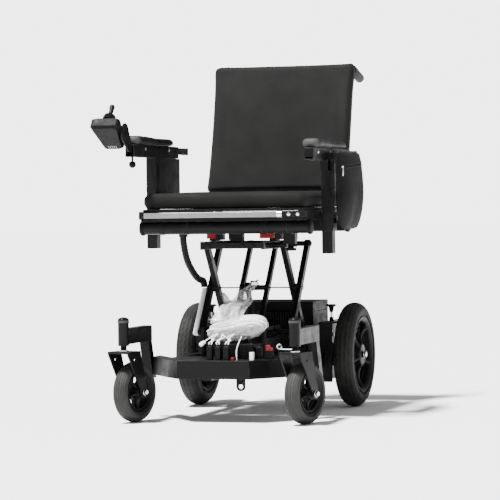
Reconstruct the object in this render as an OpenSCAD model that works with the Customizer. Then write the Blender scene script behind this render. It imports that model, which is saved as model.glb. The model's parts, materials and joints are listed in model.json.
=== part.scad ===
// Power wheelchair with two rear drive wheels, two front casters and a scissor
// lift under the seat. The chair faces -Y, +X is the occupant's left and +Z is
// up. The origin is on the floor, at the middle of the chair's box.

/* [Wheels] */
// Outer diameter of a drive wheel tyre
drive_d = 320; // [290:1:340]
// Width of a drive wheel tyre
drive_tyre_w = 61; // [50:1:64]
// Distance between the middle planes of the drive wheels
drive_track = 504; // [498:1:560]
// Outer diameter of a caster tyre
caster_d = 176; // [150:1:190]
// Width of a caster tyre
caster_tyre_w = 44; // [34:1:50]
// Distance between the caster stems
caster_track = 514; // [500:1:560]
// Distance from the drive axle forward to the caster stems
wheelbase = 673; // [660:1:760]
// Distance that a caster wheel trails behind its stem
caster_trail = 52; // [40:1:56]
// Angle that the casters are swivelled through as they stand
caster_turn = 15; // [-30:1:30]

/* [Chassis] */
// Height of the chassis rails and of the front beam
chassis_h = 53; // [40:1:60]
// Half of the width between the outer faces of the chassis rails
rail_half = 172; // [160:1:180]
// Thickness of the front beam from front to back
beam_t = 40; // [30:1:50]
// Half width of the straight middle panel of the front beam
beam_mid_half = 109; // [90:1:120]
// Wall thickness of the frame tubes and channels
tube_wall = 3; // [2:0.5:4]
// Diameter of a drive motor
motor_d = 80; // [70:1:84]
// Height of the battery box with its lid
battery_h = 121; // [100:1:130]
// Half width of the battery box
battery_half = 142; // [120:1:150]

/* [Lift] */
// Length of a lift arm from pivot to pivot
arm_len = 325; // [300:1:360]
// Angle of the lift arms above the floor when the seat is raised
lift_angle = 53.4; // [45:0.1:56]
// Width of a lift arm's bar, seen from the side
arm_w = 20; // [16:1:24]
// Thickness of a lift arm's bar, along the pivots
arm_t = 16; // [10:1:17]
// Diameter of the lift pivots
pivot_d = 16; // [12:1:16]
// Height of the lower pivots above the chassis rails
pivot_rise = 64; // [60:1:80]

/* [Seat] */
// Width of the seat cushion
seat_w = 500; // [440:1:500]
// Depth of the seat cushion
seat_depth = 528; // [480:1:530]
// Thickness of the seat cushion
seat_t = 46; // [35:1:80]
// Diameter of the cross tubes under the seat
cross_d = 38; // [30:1:42]
// Height of the cross tubes' middle above the lift platform's pivots
cross_rise = 55; // [52:1:80]

/* [Backrest] */
// Width of the back cushion
back_w = 457; // [400:1:460]
// Height of the back cushion
back_h = 414; // [350:1:520]
// Thickness of the back cushion
back_t = 55; // [40:1:60]
// Angle that the backrest leans back
recline = 15; // [5:1:25]
// Diameter of the back canes
cane_d = 25; // [20:1:28]

/* [Armrests] */
// Height of the left arm pad's top above the cross tubes' middle
arm_rise_left = 268; // [240:1:300]
// How much lower the right armrest is set
arm_drop_right = 19; // [0:1:20]
// Side of the square armrest posts
post_w = 32; // [28:1:34]
// Width of an arm pad
pad_w = 55; // [45:1:60]
// Length of an arm pad
pad_len = 320; // [280:1:340]
// Thickness of an arm pad
pad_t = 22; // [16:1:30]

/* [Controls] */
// Width of the joystick pod at its front
pod_w = 90; // [80:1:94]
// Length of the joystick pod
pod_len = 112; // [100:1:116]
// Thickness of the joystick pod
pod_t = 40; // [36:1:44]
// Angle that the pod's front is tilted up
pod_tilt = 35; // [0:1:45]

/* [Fits] */
// Radial clearance of a pin or shaft in its bore
fit = 0.05; // [0.02:0.01:0.1]
// Gap between pieces that slide or turn past each other
gap = 0.5; // [0.4:0.1:1]

/* [Hidden] */

$fn = 64;
e = 1;          // overshoot of a cutting shape past the face that it cuts
black = [0.08, 0.08, 0.08];
rubber = [0.14, 0.14, 0.14];
grey = [0.5, 0.5, 0.5];
zinc = [0.75, 0.75, 0.75];

// Wheels and casters
axle_y = 207;
axle_z = drive_d / 2;
stem_y = axle_y - wheelbase;
stem_x = caster_track / 2;
wheel_x = drive_track / 2;
fork_gap = 10;                       // tyre to fork leg
fork_leg_t = 4;
fork_half = caster_tyre_w / 2 + fork_gap;
fork_top = caster_d + 32;            // top of the fork's plate
fork_plate_t = 6;
stem_d = 12;
spacer_h = 16;
barrel_h = 72;
barrel_d = 32;
barrel_z = fork_top + spacer_h;
caster_axle_d = 10;
drive_shaft_d = 17;
drive_bead_d = drive_d - 94;         // where the drive tyre sits on its rim
caster_bead_d = caster_d - 60;

// Chassis
chassis_z = axle_z - 33;
chassis_top = chassis_z + chassis_h;
rail_w = 24;
beam_y = stem_y + 36;                // front face of the middle panel
neck_w = 28;
neck_arm_h = 45;
neck_z = barrel_z + 4;
neck_inner = stem_x - neck_w / 2;
beam_bend = [beam_mid_half + 43, beam_y + 50];
beam_end = [neck_inner, beam_bend[1] + 122];
post_lean = 19;                      // the posts' feet lie behind their tops
post_t = 30;
post_top_y = beam_end[1] - 20;
post_foot_z = chassis_z - 11;
neck_rear_y = post_top_y + 18;
plate_t = 6;
bracket_y = axle_y - 127;
bracket_top = axle_z + 105;
bracket_len = 215;
bracket_low = axle_z - 77;
flange_out = drive_track / 2 - drive_tyre_w / 2 - 7;
cross_bar = 25;
case_z = axle_z + motor_d / 2 + 5;
case_y = axle_y - 76;
case_len = 175;
lid_h = 30;
case_wall = 3;

// Lift. The pivots' heights follow from the arm's length and angle.
pivot_z = chassis_top + pivot_rise;
rear_y = 88;
run = arm_len * cos(lift_angle);
rise = arm_len * sin(lift_angle);
front_y = rear_y - run;
top_z = pivot_z + rise;
mid_y = rear_y - run / 2;
mid_z = pivot_z + rise / 2;
low_angle = 25.4;                    // angle of the arms with the seat down
travel = arm_len * (cos(low_angle) - cos(lift_angle));
arm_gap = 4.5;
arm_a_x = 119.5;
arm_b_x = arm_a_x + arm_t + arm_gap;
h_bar_x = 40;
track_x = 94;
track_t = 8;
roller_d = 24;
slide_d = 14;                        // slide bar where it runs in the platform
act_y = rear_y - 28;
act_z = pivot_z - 84;
act_x = -22;
act_dy = mid_y - act_y;
act_dz = mid_z - act_z;
act_len = sqrt(act_dy * act_dy + act_dz * act_dz);
act_lean = atan2(-act_dy, act_dz);   // lean of the actuator toward the front
act_body_d = 34;
act_rod_d = 16;
eye_slack = 1.4;                     // play of the rod's eye on the cross tube

// Platform and seat
plat_top = top_z + 13;
plat_low = top_z - 11;
plat_front = front_y - travel - 30;
plat_rear = rear_y + 34;
cross_z = top_z + cross_rise;
cross_front_y = -288;
cross_rear_y = 130;
seat_rail_h = 24;
seat_rail_w = 24;
seat_rail_x = 240;
rail_in = seat_rail_x - seat_rail_w / 2;
rail_out = seat_rail_x + seat_rail_w / 2;
seat_rail_z = cross_z + cross_d / 2;
seat_front = -318;
board_t = 8;
front_bar_h = 16;
board_z = cross_z + 47;
seat_z = board_z + board_t;
seat_top = seat_z + seat_t;
spine_x = 95;
spine_w = 25;
latch_y = -138;

// Backrest, laid out upright about its hinge and leaned afterwards
hinge_y = 267;
hinge_z = cross_z + 34;
back_face = back_t + cane_d / 2 + gap;
back_low = (seat_top + 7 - hinge_z - back_face * sin(recline)) / cos(recline);
cane_x = 202;
cane_top = back_low + back_h + 4;
grip_len = 118;
grip_drop = 8;

// Armrests
sock_wall = 3.5;
sock_fit = 0.5;
sock_out = post_w + 2 * (sock_wall + sock_fit);
sock_x = seat_rail_x + seat_rail_w / 2 + sock_out / 2;
sock_z = cross_z - 15;
sock_h = 55;
arm_y = -148;
gusset_h = 36;
gusset_w = 28;
gusset_wall = 3;
pad_y = -338;
post_below = 62;                     // post below the cross tubes, at the left
panel_t = 4;
tail_w = 20;
arm_knob_z = sock_z + 30;

// Joystick pod
pod_pivot = [-sock_x, -408, cross_z + arm_rise_left + 10];
bar_w = 18;
pod_x = -sock_x - 39;
pod_low_w = pod_w * 0.66;
stick_y = -pod_len / 2 + 30;
stick_len = 56;
boot_d = 41;
gimbal_z = pod_t / 2 - 9;

bearing_d = 26;
bearing_h = 10;
eye_x = 78;
eye_y = beam_y + beam_t / 2;
eye_w = 26;
eye_t = 8;
eye_bore = 14;
eye_z = chassis_z - 22;
rail_rear_y = bracket_y + 70;
cross_a_y = front_y - travel - 28;
cross_b_y = front_y + 4;
cross_c_y = rear_y - cross_bar / 2;
box_x0 = -16;
box_x1 = 96;
box_y0 = beam_y + beam_t + 46;
box_y1 = cross_a_y - 22;
box_h = 42;
hank_l = 196;
hank_d = 78;
hank_h = 84;
hank_x = 36;
hank_y = (box_y0 + box_y1) / 2;
hank_lean = 8;
hank_half = sqrt(pow(hank_l / 2 * sin(hank_lean), 2) + pow(hank_h / 2 * cos(hank_lean), 2));
hank_z = chassis_top + box_h + hank_half + 0.3;
act_pin_d = 8;
centre_d = 16;
eye_out_d = 32;
act_tube_top = act_len - 52;
tie_rod_d = 4;
sleeve_d = 18;
sleeve_len = arm_len / 2;
lug_t = 6;
lug_half = 14;
lug_in = arm_a_x - arm_t / 2 - gap - lug_t;
lug_out = arm_a_x + arm_t / 2 + gap + lug_t;
plate_in = 90;
plate_out = 98;
motor_len = 104;
motor_neck_d = 50;
gear_t = 26;
knob_x = rail_half + plate_t + 15;
knob_y = axle_y - 50;
knob_rod_d = 6;
latch_z = (plat_top + cross_z - 13) / 2;
knob_arm_x = 156;
knob_arm_z = top_z + 3;
bar_z = board_z - 2 - front_bar_h;
bar_left = -238;
bar_split = 180;
front_bar_t = 16;
back_pin_d = 12;
arm_top_left = cross_z + arm_rise_left;
arm_top_right = arm_top_left - arm_drop_right;
gusset_y0 = -350;
gusset_y1 = 50;
gusset_hole_1 = -232;
gusset_hole_2 = -45;
tail_end = 150;
panel_low = seat_top + 2;
panel_end = 95;
arm_screw_d = 8;
bag_x = sock_x + sock_out / 2 + 17;
bag_y0 = -231;
bag_y1 = 54;
bag_low = cross_z - 22;
bar_end = gusset_hole_1 - 30;
clamp_screw_d = 6;
pod_pin_d = 8;
pod_plate_x = -sock_x + 5;
pod_plate_t = 5;
pod_pin_in = pod_x + pod_low_w / 2 - 6;
caster_hub_half = caster_tyre_w / 2 + 2;
drive_hub_half = drive_tyre_w / 2 - 4;

// Wiring loom: its thickness, and its way from the gland to the lift's crossing
// as shares of the distance to the rear and down
loom_d = 21;
loom_x = -160;
loom_start = [latch_y - 67, cross_z - 28];
loom_stop = [mid_y - 4, mid_z + 3.5];
loom_curve = [
    [0, 0], [0, 0.05], [0.04, 0.18], [0.11, 0.34], [0.21, 0.49], [0.36, 0.62], [0.51, 0.73],
    [0.66, 0.81], [0.82, 0.86], [0.94, 0.88], [0.99, 0.94], [1, 1]
];
loom_path = [for (p = loom_curve)
    [loom_x, loom_start[0] + p[0] * (loom_stop[0] - loom_start[0]),
        loom_start[1] + p[1] * (loom_stop[1] - loom_start[1])]];

// ---------------------------------------------------------------- helpers

// A block given by its lowest and highest corners
module block(low, high) {
    translate(low) cube(high - low);
}

// The same shape at both sides of the chair
module both_sides() {
    children();
    mirror([1, 0, 0]) children();
}

// A cylinder along X from one x to another
module rod_x(x0, x1, y, z, d) {
    translate([x0, y, z]) rotate([0, 90, 0]) cylinder(h = x1 - x0, d = d);
}

// A rectangular tube along Y with open ends
module tube_y(low, high, wall) {
    difference() {
        block(low, high);
        block(low + [wall, -e, wall], high + [-wall, e, -wall]);
    }
}

// A rectangular tube along X with open ends
module tube_x(low, high, wall) {
    difference() {
        block(low, high);
        block(low + [-e, wall, wall], high + [e, -wall, -wall]);
    }
}

// A rectangular tube along Z with open ends
module tube_z(low, high, wall) {
    difference() {
        block(low, high);
        block(low + [wall, wall, -e], high + [-wall, -wall, e]);
    }
}

// A flat shape drawn in Y and Z, given a thickness along X
module plate_x(x0, x1) {
    translate([x0, 0, 0]) rotate([90, 0, 90]) linear_extrude(x1 - x0) children();
}

// A rounded block with its edges rounded along Y
module soft_block(low, high, r) {
    size = high - low;
    translate(low) translate([r, 0, r]) rotate([90, 0, 0]) mirror([0, 0, 1])
        linear_extrude(size[1]) offset(r) square([size[0] - 2 * r, size[2] - 2 * r]);
}

// ---------------------------------------------------------------- chassis

// Length of a line made one unit long, its left-hand normal, and the corner
// point of a bent line after it is moved sideways by t
function unit(v) = v / norm(v);
function left_of(v) = [-v[1], v[0]];
function mitre(a, b, c, t) =
    let (n1 = left_of(unit(b - a)), n2 = left_of(unit(c - b)))
    b + t * (n1 + n2) / (1 + n1 * n2);
function flip(p) = [-p[0], p[1]];

// Bent line of the front beam's half, t behind its front face, out to end_x
function beam_line(t, end_x) =
    let (
        p0 = [0, beam_y], p1 = [beam_mid_half, beam_y],
        d = unit(beam_end - beam_bend), n = left_of(d),
        slide = (end_x - beam_end[0] - t * n[0]) / d[0]
    )
    [mitre(p0, p1, beam_bend, t), mitre(p1, beam_bend, beam_end, t), beam_end + t * n + slide * d];

// Plan of the whole beam between two depths behind its front face
function beam_ring(t0, t1, end_x) =
    let (front = beam_line(t0, end_x), back = beam_line(t1, end_x))
    concat(
        [for (i = [2:-1:0]) flip(front[i])], front,
        [for (i = [2:-1:0]) back[i]], [for (p = back) flip(p)]
    );

// Footprint of the room that the front beam takes, out to its back face
module beam_footprint() {
    back = beam_line(beam_t, beam_end[0]);
    polygon([
        back[0], back[1], back[2], [back[2][0], beam_y - e], [0, beam_y - e],
        [0, beam_y + beam_t]
    ]);
}

// Bent sheet channel, open below, with closed ends
module beam_channel() {
    difference() {
        translate([0, 0, chassis_z]) linear_extrude(chassis_h)
            polygon(beam_ring(0, beam_t, beam_end[0]));
        translate([0, 0, chassis_z - e]) linear_extrude(chassis_h - tube_wall + e)
            polygon(beam_ring(tube_wall, beam_t - tube_wall, beam_end[0] - tube_wall));
    }
}

module neck_post() {
    intersection() {
        translate([stem_x, post_top_y, neck_z]) rotate([post_lean, 0, 0])
            translate([-neck_w / 2, -post_t / 2, -200]) cube([neck_w, post_t, 250]);
        block([neck_inner, stem_y, post_foot_z], [neck_inner + neck_w, axle_y, neck_z]);
    }
}

module front_beam() {
    color(black) {
        beam_channel();
        both_sides() neck_post();
    }
}

// Goosenecks: a barrel for each caster stem, on an arm that reaches forward
module neck_arms() {
    color(black) both_sides() {
        difference() {
            union() {
                translate([stem_x, stem_y, barrel_z]) cylinder(h = barrel_h, d = barrel_d);
                difference() {
                    tube_y([neck_inner, stem_y, neck_z],
                        [neck_inner + neck_w, neck_rear_y, neck_z + neck_arm_h], tube_wall);
                    translate([stem_x, stem_y, neck_z - e])
                        cylinder(h = neck_arm_h + 2 * e, d = barrel_d - 2);
                }
            }
            translate([stem_x, stem_y, barrel_z - e])
                cylinder(h = barrel_h + 2 * e, d = bearing_d);
        }
        // plug at the rear end of the arm
        block([neck_inner + tube_wall, neck_rear_y - 4, neck_z + tube_wall],
            [neck_inner + neck_w - tube_wall, neck_rear_y, neck_z + neck_arm_h - tube_wall]);
        // domed cap on the barrel
        translate([stem_x, stem_y, barrel_z + barrel_h]) rotate_extrude() polygon(concat(
            [[0, 0], [barrel_d / 2 + 0.5, 0]],
            [for (a = [0:15:90]) [(barrel_d / 2 + 0.5) * cos(a), 2 + 9 * sin(a)]]));
    }
}

// Eye under the front beam that a transport strap hooks into
module tie_down_eye() {
    color(zinc) difference() {
        union() {
            block([eye_x - eye_w / 2, eye_y - eye_t / 2, eye_z],
                [eye_x + eye_w / 2, eye_y + eye_t / 2, chassis_top - tube_wall]);
            translate([eye_x, eye_y + eye_t / 2, eye_z]) rotate([90, 0, 0])
                cylinder(h = eye_t, d = eye_w);
        }
        translate([eye_x, eye_y + eye_t, eye_z]) rotate([90, 0, 0])
            cylinder(h = 2 * eye_t, d = eye_bore);
    }
}

module chassis_rails() {
    color(black) {
        both_sides() difference() {
            tube_y([rail_half - rail_w, beam_y, chassis_z],
                [rail_half, rail_rear_y, chassis_top], tube_wall);
            translate([0, 0, chassis_z - e]) linear_extrude(chassis_h + 2 * e) beam_footprint();
        }
        // cross members between the rails, under the lift
        for (y = [cross_a_y, cross_b_y, cross_c_y])
            tube_x([-rail_half + rail_w, y, chassis_top - cross_bar],
                [rail_half - rail_w, y + cross_bar, chassis_top], tube_wall);
        // cross members under the battery box
        tube_x([-rail_half, case_y + 4, chassis_top],
            [rail_half, case_y + 4 + cross_bar, case_z], tube_wall);
        tube_x([-rail_half, case_y + case_len - cross_bar - 4, case_z - cross_bar],
            [rail_half, case_y + case_len - 4, case_z], tube_wall);
        // tray that carries the junction box
        difference() {
            block([-rail_half + rail_w, beam_y + beam_t, chassis_top - tube_wall],
                [rail_half - rail_w, cross_a_y, chassis_top]);
            both_sides() translate([0, 0, chassis_top - tube_wall - e])
                linear_extrude(tube_wall + 2 * e) beam_footprint();
        }
        // ears of the lift actuator
        for (side = [-1, 1]) difference() {
            block([act_x + side * 9 - 2, act_y - 10, act_z - 10],
                [act_x + side * 9 + 2, cross_c_y, act_z + 10]);
            rod_x(act_x - 20, act_x + 20, act_y, act_z, act_pin_d + 2 * fit);
        }
    }
}

// Junction box behind the front beam, with three upright cable connectors
module junction_box() {
    color(black) {
        block([box_x0, box_y0, chassis_top], [box_x1, box_y1, chassis_top + box_h]);
        for (x = [-14, 11, 36]) {
            block([x - 8, beam_y + 12, chassis_top], [x + 8, beam_y + 30, chassis_top + 40]);
            block([x - 5, beam_y + 15, chassis_top + 40], [x + 5, beam_y + 27, chassis_top + 46]);
        }
        block([box_x1 + 4, box_y0 + 14, chassis_top], [box_x1 + 20, box_y0 + 30, chassis_top + 34]);
    }
}

// Spare harness, coiled up flat in a clear bag and tied up to the lift
module wire_hank() {
    color("white") {
        translate([hank_x, hank_y, hank_z]) rotate([0, -hank_lean, 0]) resize([hank_l, hank_d, hank_h])
            sphere(r = 50, $fn = 32);
    }
}

// Slotted plates that guide the rollers at the arms' lower front ends, and the
// brackets and pins of the lower rear pivots
module lift_brackets() {
    color(black) both_sides() difference() {
        block([track_x - track_t / 2, front_y - travel - 30, chassis_top],
            [track_x + track_t / 2, front_y + 32, pivot_z + roller_d / 2 + 8]);
        slot_x(track_x, track_t, front_y - travel - 2, front_y + 2, pivot_z, roller_d + 2 * gap);
    }
    color(black) both_sides() {
        difference() {
            block([lug_in, rear_y - lug_half, chassis_top], [lug_out, rear_y + lug_half, pivot_z + lug_half]);
            block([lug_in + lug_t, rear_y - lug_half - e, chassis_top + lug_t],
                [lug_out - lug_t, rear_y + lug_half + e, pivot_z + lug_half + e]);
            rod_x(lug_in - e, lug_out + e, rear_y, pivot_z, pivot_d + 2 * fit);
        }
        rod_x(lug_in - 2, lug_out + 2, rear_y, pivot_z, pivot_d);
    }
}

// A slot along Y through a plate that faces X, with round ends
module slot_x(x, t, y0, y1, z, h) {
    block([x - t / 2 - e, y0, z - h / 2], [x + t / 2 + e, y1, z + h / 2]);
    for (y = [y0, y1]) rod_x(x - t / 2 - e, x + t / 2 + e, y, z, h);
}

// Plates at both sides that carry the drive motors
module motor_brackets() {
    color(black) both_sides() {
        difference() {
            block([rail_half, bracket_y, bracket_low],
                [rail_half + plate_t, bracket_y + bracket_len, bracket_top]);
            rod_x(rail_half - e, rail_half + plate_t + e, axle_y, axle_z, motor_neck_d + 2 * fit);
        }
        // front flange with a slot
        difference() {
            block([rail_half + plate_t, bracket_y, bracket_low],
                [flange_out, bracket_y + plate_t, bracket_top]);
            block([rail_half + plate_t + 3, bracket_y - e, axle_z - 24],
                [rail_half + plate_t + 12, bracket_y + plate_t + e, axle_z + 10]);
        }
        // top shelf that the freewheel knob stands on
        difference() {
            block([rail_half + plate_t, bracket_y + plate_t, bracket_top - plate_t],
                [flange_out, bracket_y + 88, bracket_top]);
            translate([knob_x, knob_y, bracket_top - plate_t - e])
                cylinder(h = plate_t + 2 * e, d = knob_rod_d + 2 * fit);
        }
    }
}

// Drive motors with their gearboxes
module drive_motors() {
    color(grey) both_sides() difference() {
        union() {
            rod_x(rail_half - motor_len, rail_half, axle_y, axle_z, motor_d);
            rod_x(rail_half, rail_half + plate_t, axle_y, axle_z, motor_neck_d);
            rod_x(rail_half + plate_t, rail_half + plate_t + gear_t, axle_y, axle_z, motor_d - 10);
        }
        rod_x(rail_half - 30, rail_half + plate_t + gear_t + e, axle_y, axle_z,
            drive_shaft_d + 2 * fit);
    }
}

module battery_case() {
    color(black) difference() {
        block([-battery_half, case_y, case_z],
            [battery_half, case_y + case_len, case_z + battery_h - lid_h]);
        block([-battery_half + case_wall, case_y + case_wall, case_z + case_wall],
            [battery_half - case_wall, case_y + case_len - case_wall, case_z + battery_h]);
    }
}

module battery_lid() {
    z = case_z + battery_h - lid_h;
    color(black) {
        difference() {
            block([-battery_half, case_y, z], [battery_half, case_y + case_len, z + lid_h]);
            block([-battery_half + case_wall, case_y + case_wall, z - e],
                [battery_half - case_wall, case_y + case_len - case_wall, z + lid_h - case_wall]);
        }
        // carrying strap across the lid
        block([-60, case_y + 70, z + lid_h], [60, case_y + 95, z + lid_h + 3]);
    }
}

// Two sealed batteries side by side
module battery_pack() {
    z = case_z + case_wall;
    color(grey) both_sides() {
        block([3, case_y + case_wall + 3, z],
            [battery_half - case_wall - 3, case_y + case_len - case_wall - 3, z + battery_h - 22]);
        for (y = [case_y + 30, case_y + case_len - 30])
            translate([20, y, z + battery_h - 22]) cylinder(h = 6, d = 12);
    }
}

// Motor controller on the front of the battery box, with cooling fins
module power_module() {
    color(black) difference() {
        block([-30, case_y - 24, case_z + 6], [80, case_y, case_z + battery_h - lid_h - 2]);
        for (x = [-24:8:72])
            block([x, case_y - 24 - e, case_z + 30], [x + 4, case_y - 14, case_z + battery_h]);
    }
}

// Pull-up knob that frees one motor's clutch
module freewheel_knob() {
    color(black) translate([knob_x, knob_y, bracket_top]) {
        translate([0, 0, -26]) cylinder(h = 40, d = knob_rod_d);
        cylinder(h = 12, d = 14);
        translate([0, 0, 14]) cylinder(h = 24, d = knob_rod_d);
        translate([0, 0, 28]) cylinder(h = 16, d1 = 11, d2 = 17);
        translate([0, 0, 44]) cylinder(h = 3, d1 = 17, d2 = 34);
        translate([0, 0, 47]) cylinder(h = 5, d1 = 34, d2 = 26);
    }
}

module freewheel_knob_left() { mirror([1, 0, 0]) freewheel_knob(); }
module freewheel_knob_right() { freewheel_knob(); }

// ---------------------------------------------------------------- lift

// Places a shape drawn along Z from the actuator's lower pin
module at_actuator() {
    translate([act_x, act_y, act_z]) rotate([act_lean, 0, 0]) children();
}

module actuator_tube() {
    color(black) at_actuator() {
        difference() {
            union() {
                translate([0, 0, 16]) cylinder(h = act_tube_top - 16, d = act_body_d);
                translate([0, act_body_d - 4, 40]) cylinder(h = 90, d = act_body_d - 2);
                translate([-6, -9, 0]) cube([12, 18, 17]);
                rod_x(-6, 6, 0, 0, 18);
            }
            translate([0, 0, 24]) cylinder(h = act_len, d = act_rod_d + 2 * fit);
            rod_x(-7, 7, 0, 0, act_pin_d + 2 * fit);
        }
    }
    color(zinc) rod_x(act_x - 13, act_x + 13, act_y, act_z, act_pin_d);
}

module actuator_rod() {
    color(zinc) at_actuator() difference() {
        union() {
            translate([0, 0, 60]) cylinder(h = act_len - 72, d = act_rod_d);
            rod_x(-7, 7, 0, act_len, eye_out_d);
        }
        rod_x(-8, 8, 0, act_len, centre_d + 2 * eye_slack);
    }
}

// One bar of the scissor, drawn along Z from its lower pivot at the origin
module arm_bar(x0, x1, w, holes) {
    difference() {
        union() {
            block([x0, -w / 2, 0], [x1, w / 2, arm_len]);
            for (h = holes) rod_x(x0, x1, 0, h[0], max(w, h[1] + 8));
        }
        for (h = holes) rod_x(x0 - e, x1 + e, 0, h[0], h[1] + 2 * fit);
    }
}

// Arms hinged on the chassis at the rear, with the bar that slides above
module lift_arms_a() {
    color(black) {
        translate([0, rear_y, pivot_z]) rotate([90 - lift_angle, 0, 0]) both_sides()
            arm_bar(arm_a_x - arm_t / 2, arm_a_x + arm_t / 2, arm_w,
                [[0, pivot_d], [arm_len / 2, pivot_d], [arm_len, slide_d]]);
        rod_x(-arm_a_x - arm_t / 2 - 5, arm_a_x + arm_t / 2 + 5, front_y, top_z, slide_d);
        difference() {
            rod_x(-plate_in + 2, plate_in - 2, front_y, top_z, 18);
            rod_x(-plate_in, plate_in, front_y, top_z, slide_d + 2 * fit);
        }
    }
}

// Arms hinged on the seat platform at the rear, and the inner bars beside them
module lift_arms_b() {
    color(black) translate([0, front_y, pivot_z]) rotate([lift_angle - 90, 0, 0]) both_sides() {
        arm_bar(arm_b_x - arm_t / 2, arm_b_x + arm_t / 2, arm_w,
            [[0, pivot_d], [arm_len / 2, pivot_d], [arm_len, pivot_d]]);
        arm_bar(h_bar_x - 7, h_bar_x + 7, 16, [[0, pivot_d], [arm_len / 2, centre_d], [arm_len, pivot_d]]);
    }
}

// Shafts that tie the second pair of arms together, with rollers and bushes
module lift_shafts() {
    end_x = arm_b_x + arm_t / 2 - 0.5;
    color(zinc) {
        rod_x(-end_x, end_x, front_y, pivot_z, pivot_d);
        rod_x(-end_x, end_x, rear_y, top_z, pivot_d);
        rod_x(-h_bar_x - 7, h_bar_x + 7, mid_y, mid_z, centre_d);
        both_sides() {
            // roller in the chassis track
            difference() {
                rod_x(track_x - track_t / 2 - 1, track_x + track_t / 2 + 1, front_y, pivot_z, roller_d);
                rod_x(track_x - track_t, track_x + track_t, front_y, pivot_z, pivot_d + 2 * fit);
            }
            // bush of the middle pivot, with a collar between the two arms
            difference() {
                union() {
                    rod_x(arm_a_x - arm_t / 2 - 1, end_x, mid_y, mid_z, pivot_d);
                    rod_x(arm_a_x + arm_t / 2 + gap, arm_b_x - arm_t / 2, mid_y, mid_z, pivot_d + 8);
                }
                rod_x(arm_a_x - arm_t, arm_b_x + arm_t, mid_y, mid_z, tie_rod_d + 2 * fit);
            }
        }
        // thin tie rod through the middle pivots and the inner bars
        difference() {
            rod_x(-arm_b_x - arm_t / 2 - 6, arm_b_x + arm_t / 2 + 6, mid_y, mid_z, tie_rod_d);
            rod_x(-h_bar_x - 7, h_bar_x + 7, mid_y, mid_z, tie_rod_d + 2);
        }
    }
}

// Pale conduit that leads the wiring down the left arm
module conduit_sleeve() {
    x = -arm_b_x - arm_t / 2 - sleeve_d / 2;
    color([0.85, 0.85, 0.83]) translate([x, mid_y, mid_z]) rotate([lift_angle - 90, 0, 0])
        translate([0, 0, -sleeve_len - 6]) difference() {
            cylinder(h = sleeve_len, d = sleeve_d);
            translate([0, 0, sleeve_len - 30]) cylinder(h = 31, d = sleeve_d - 5);
        }
}

// ---------------------------------------------------------------- seat

module lift_platform() {
    color(black) {
        both_sides() difference() {
            block([plate_in, plat_front, plat_low], [plate_out, plat_rear, plat_top]);
            slot_x((plate_in + plate_out) / 2, plate_out - plate_in, front_y - travel - 2,
                front_y + 2, top_z, slide_d + 2 * gap);
            rod_x(plate_in - e, plate_out + e, rear_y, top_z, pivot_d + 2 * fit);
        }
        tube_x([-plate_in, plat_front, plat_low + 3], [plate_in, plat_front + 14, plat_top - 3], 2);
        tube_x([-plate_in, plat_rear - 14, plat_low + 3], [plate_in, plat_rear, plat_top - 3], 2);
    }
}

// Round tubes across the seat, with a knob at each end
module seat_cross_tubes() {
    color(black) for (y = [cross_front_y, cross_rear_y]) {
        difference() {
            rod_x(-rail_out, rail_out, y, cross_z, cross_d);
            rod_x(-rail_out - e, rail_out + e, y, cross_z, cross_d - 2 * tube_wall);
        }
        both_sides() rod_x(rail_out, rail_out + 9, y, cross_z, cross_d + 2);
    }
}

// Side rails with the backrest's hinge plates and the armrests' sockets
module seat_rails() {
    color(black) {
        both_sides() {
            tube_y([rail_in, seat_front, seat_rail_z], [rail_out, hinge_y + 18, board_z], tube_wall);
            // plate that the backrest is hinged on
            difference() {
                block([rail_in - 4.5, hinge_y - 30, seat_rail_z], [rail_in, hinge_y + 18, board_z + 14]);
                rod_x(rail_in - 6, rail_in, hinge_y, hinge_z, back_pin_d + 2 * fit);
            }
            // socket of the armrest post, with the clamp screw's thread
            difference() {
                tube_z([sock_x - sock_out / 2, arm_y - sock_out / 2, sock_z],
                    [sock_x + sock_out / 2, arm_y + sock_out / 2, sock_z + sock_h], sock_wall);
                rod_x(sock_x, sock_x + sock_out, arm_y, arm_knob_z, arm_screw_d + 2 * fit);
            }
        }
        // end pieces of the front bar
        block([bar_split, seat_front - front_bar_t, bar_z], [rail_out + 3, seat_front, bar_z + front_bar_h]);
        block([-rail_out, seat_front - front_bar_t, bar_z], [bar_left, seat_front, bar_z + front_bar_h]);
    }
}

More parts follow.
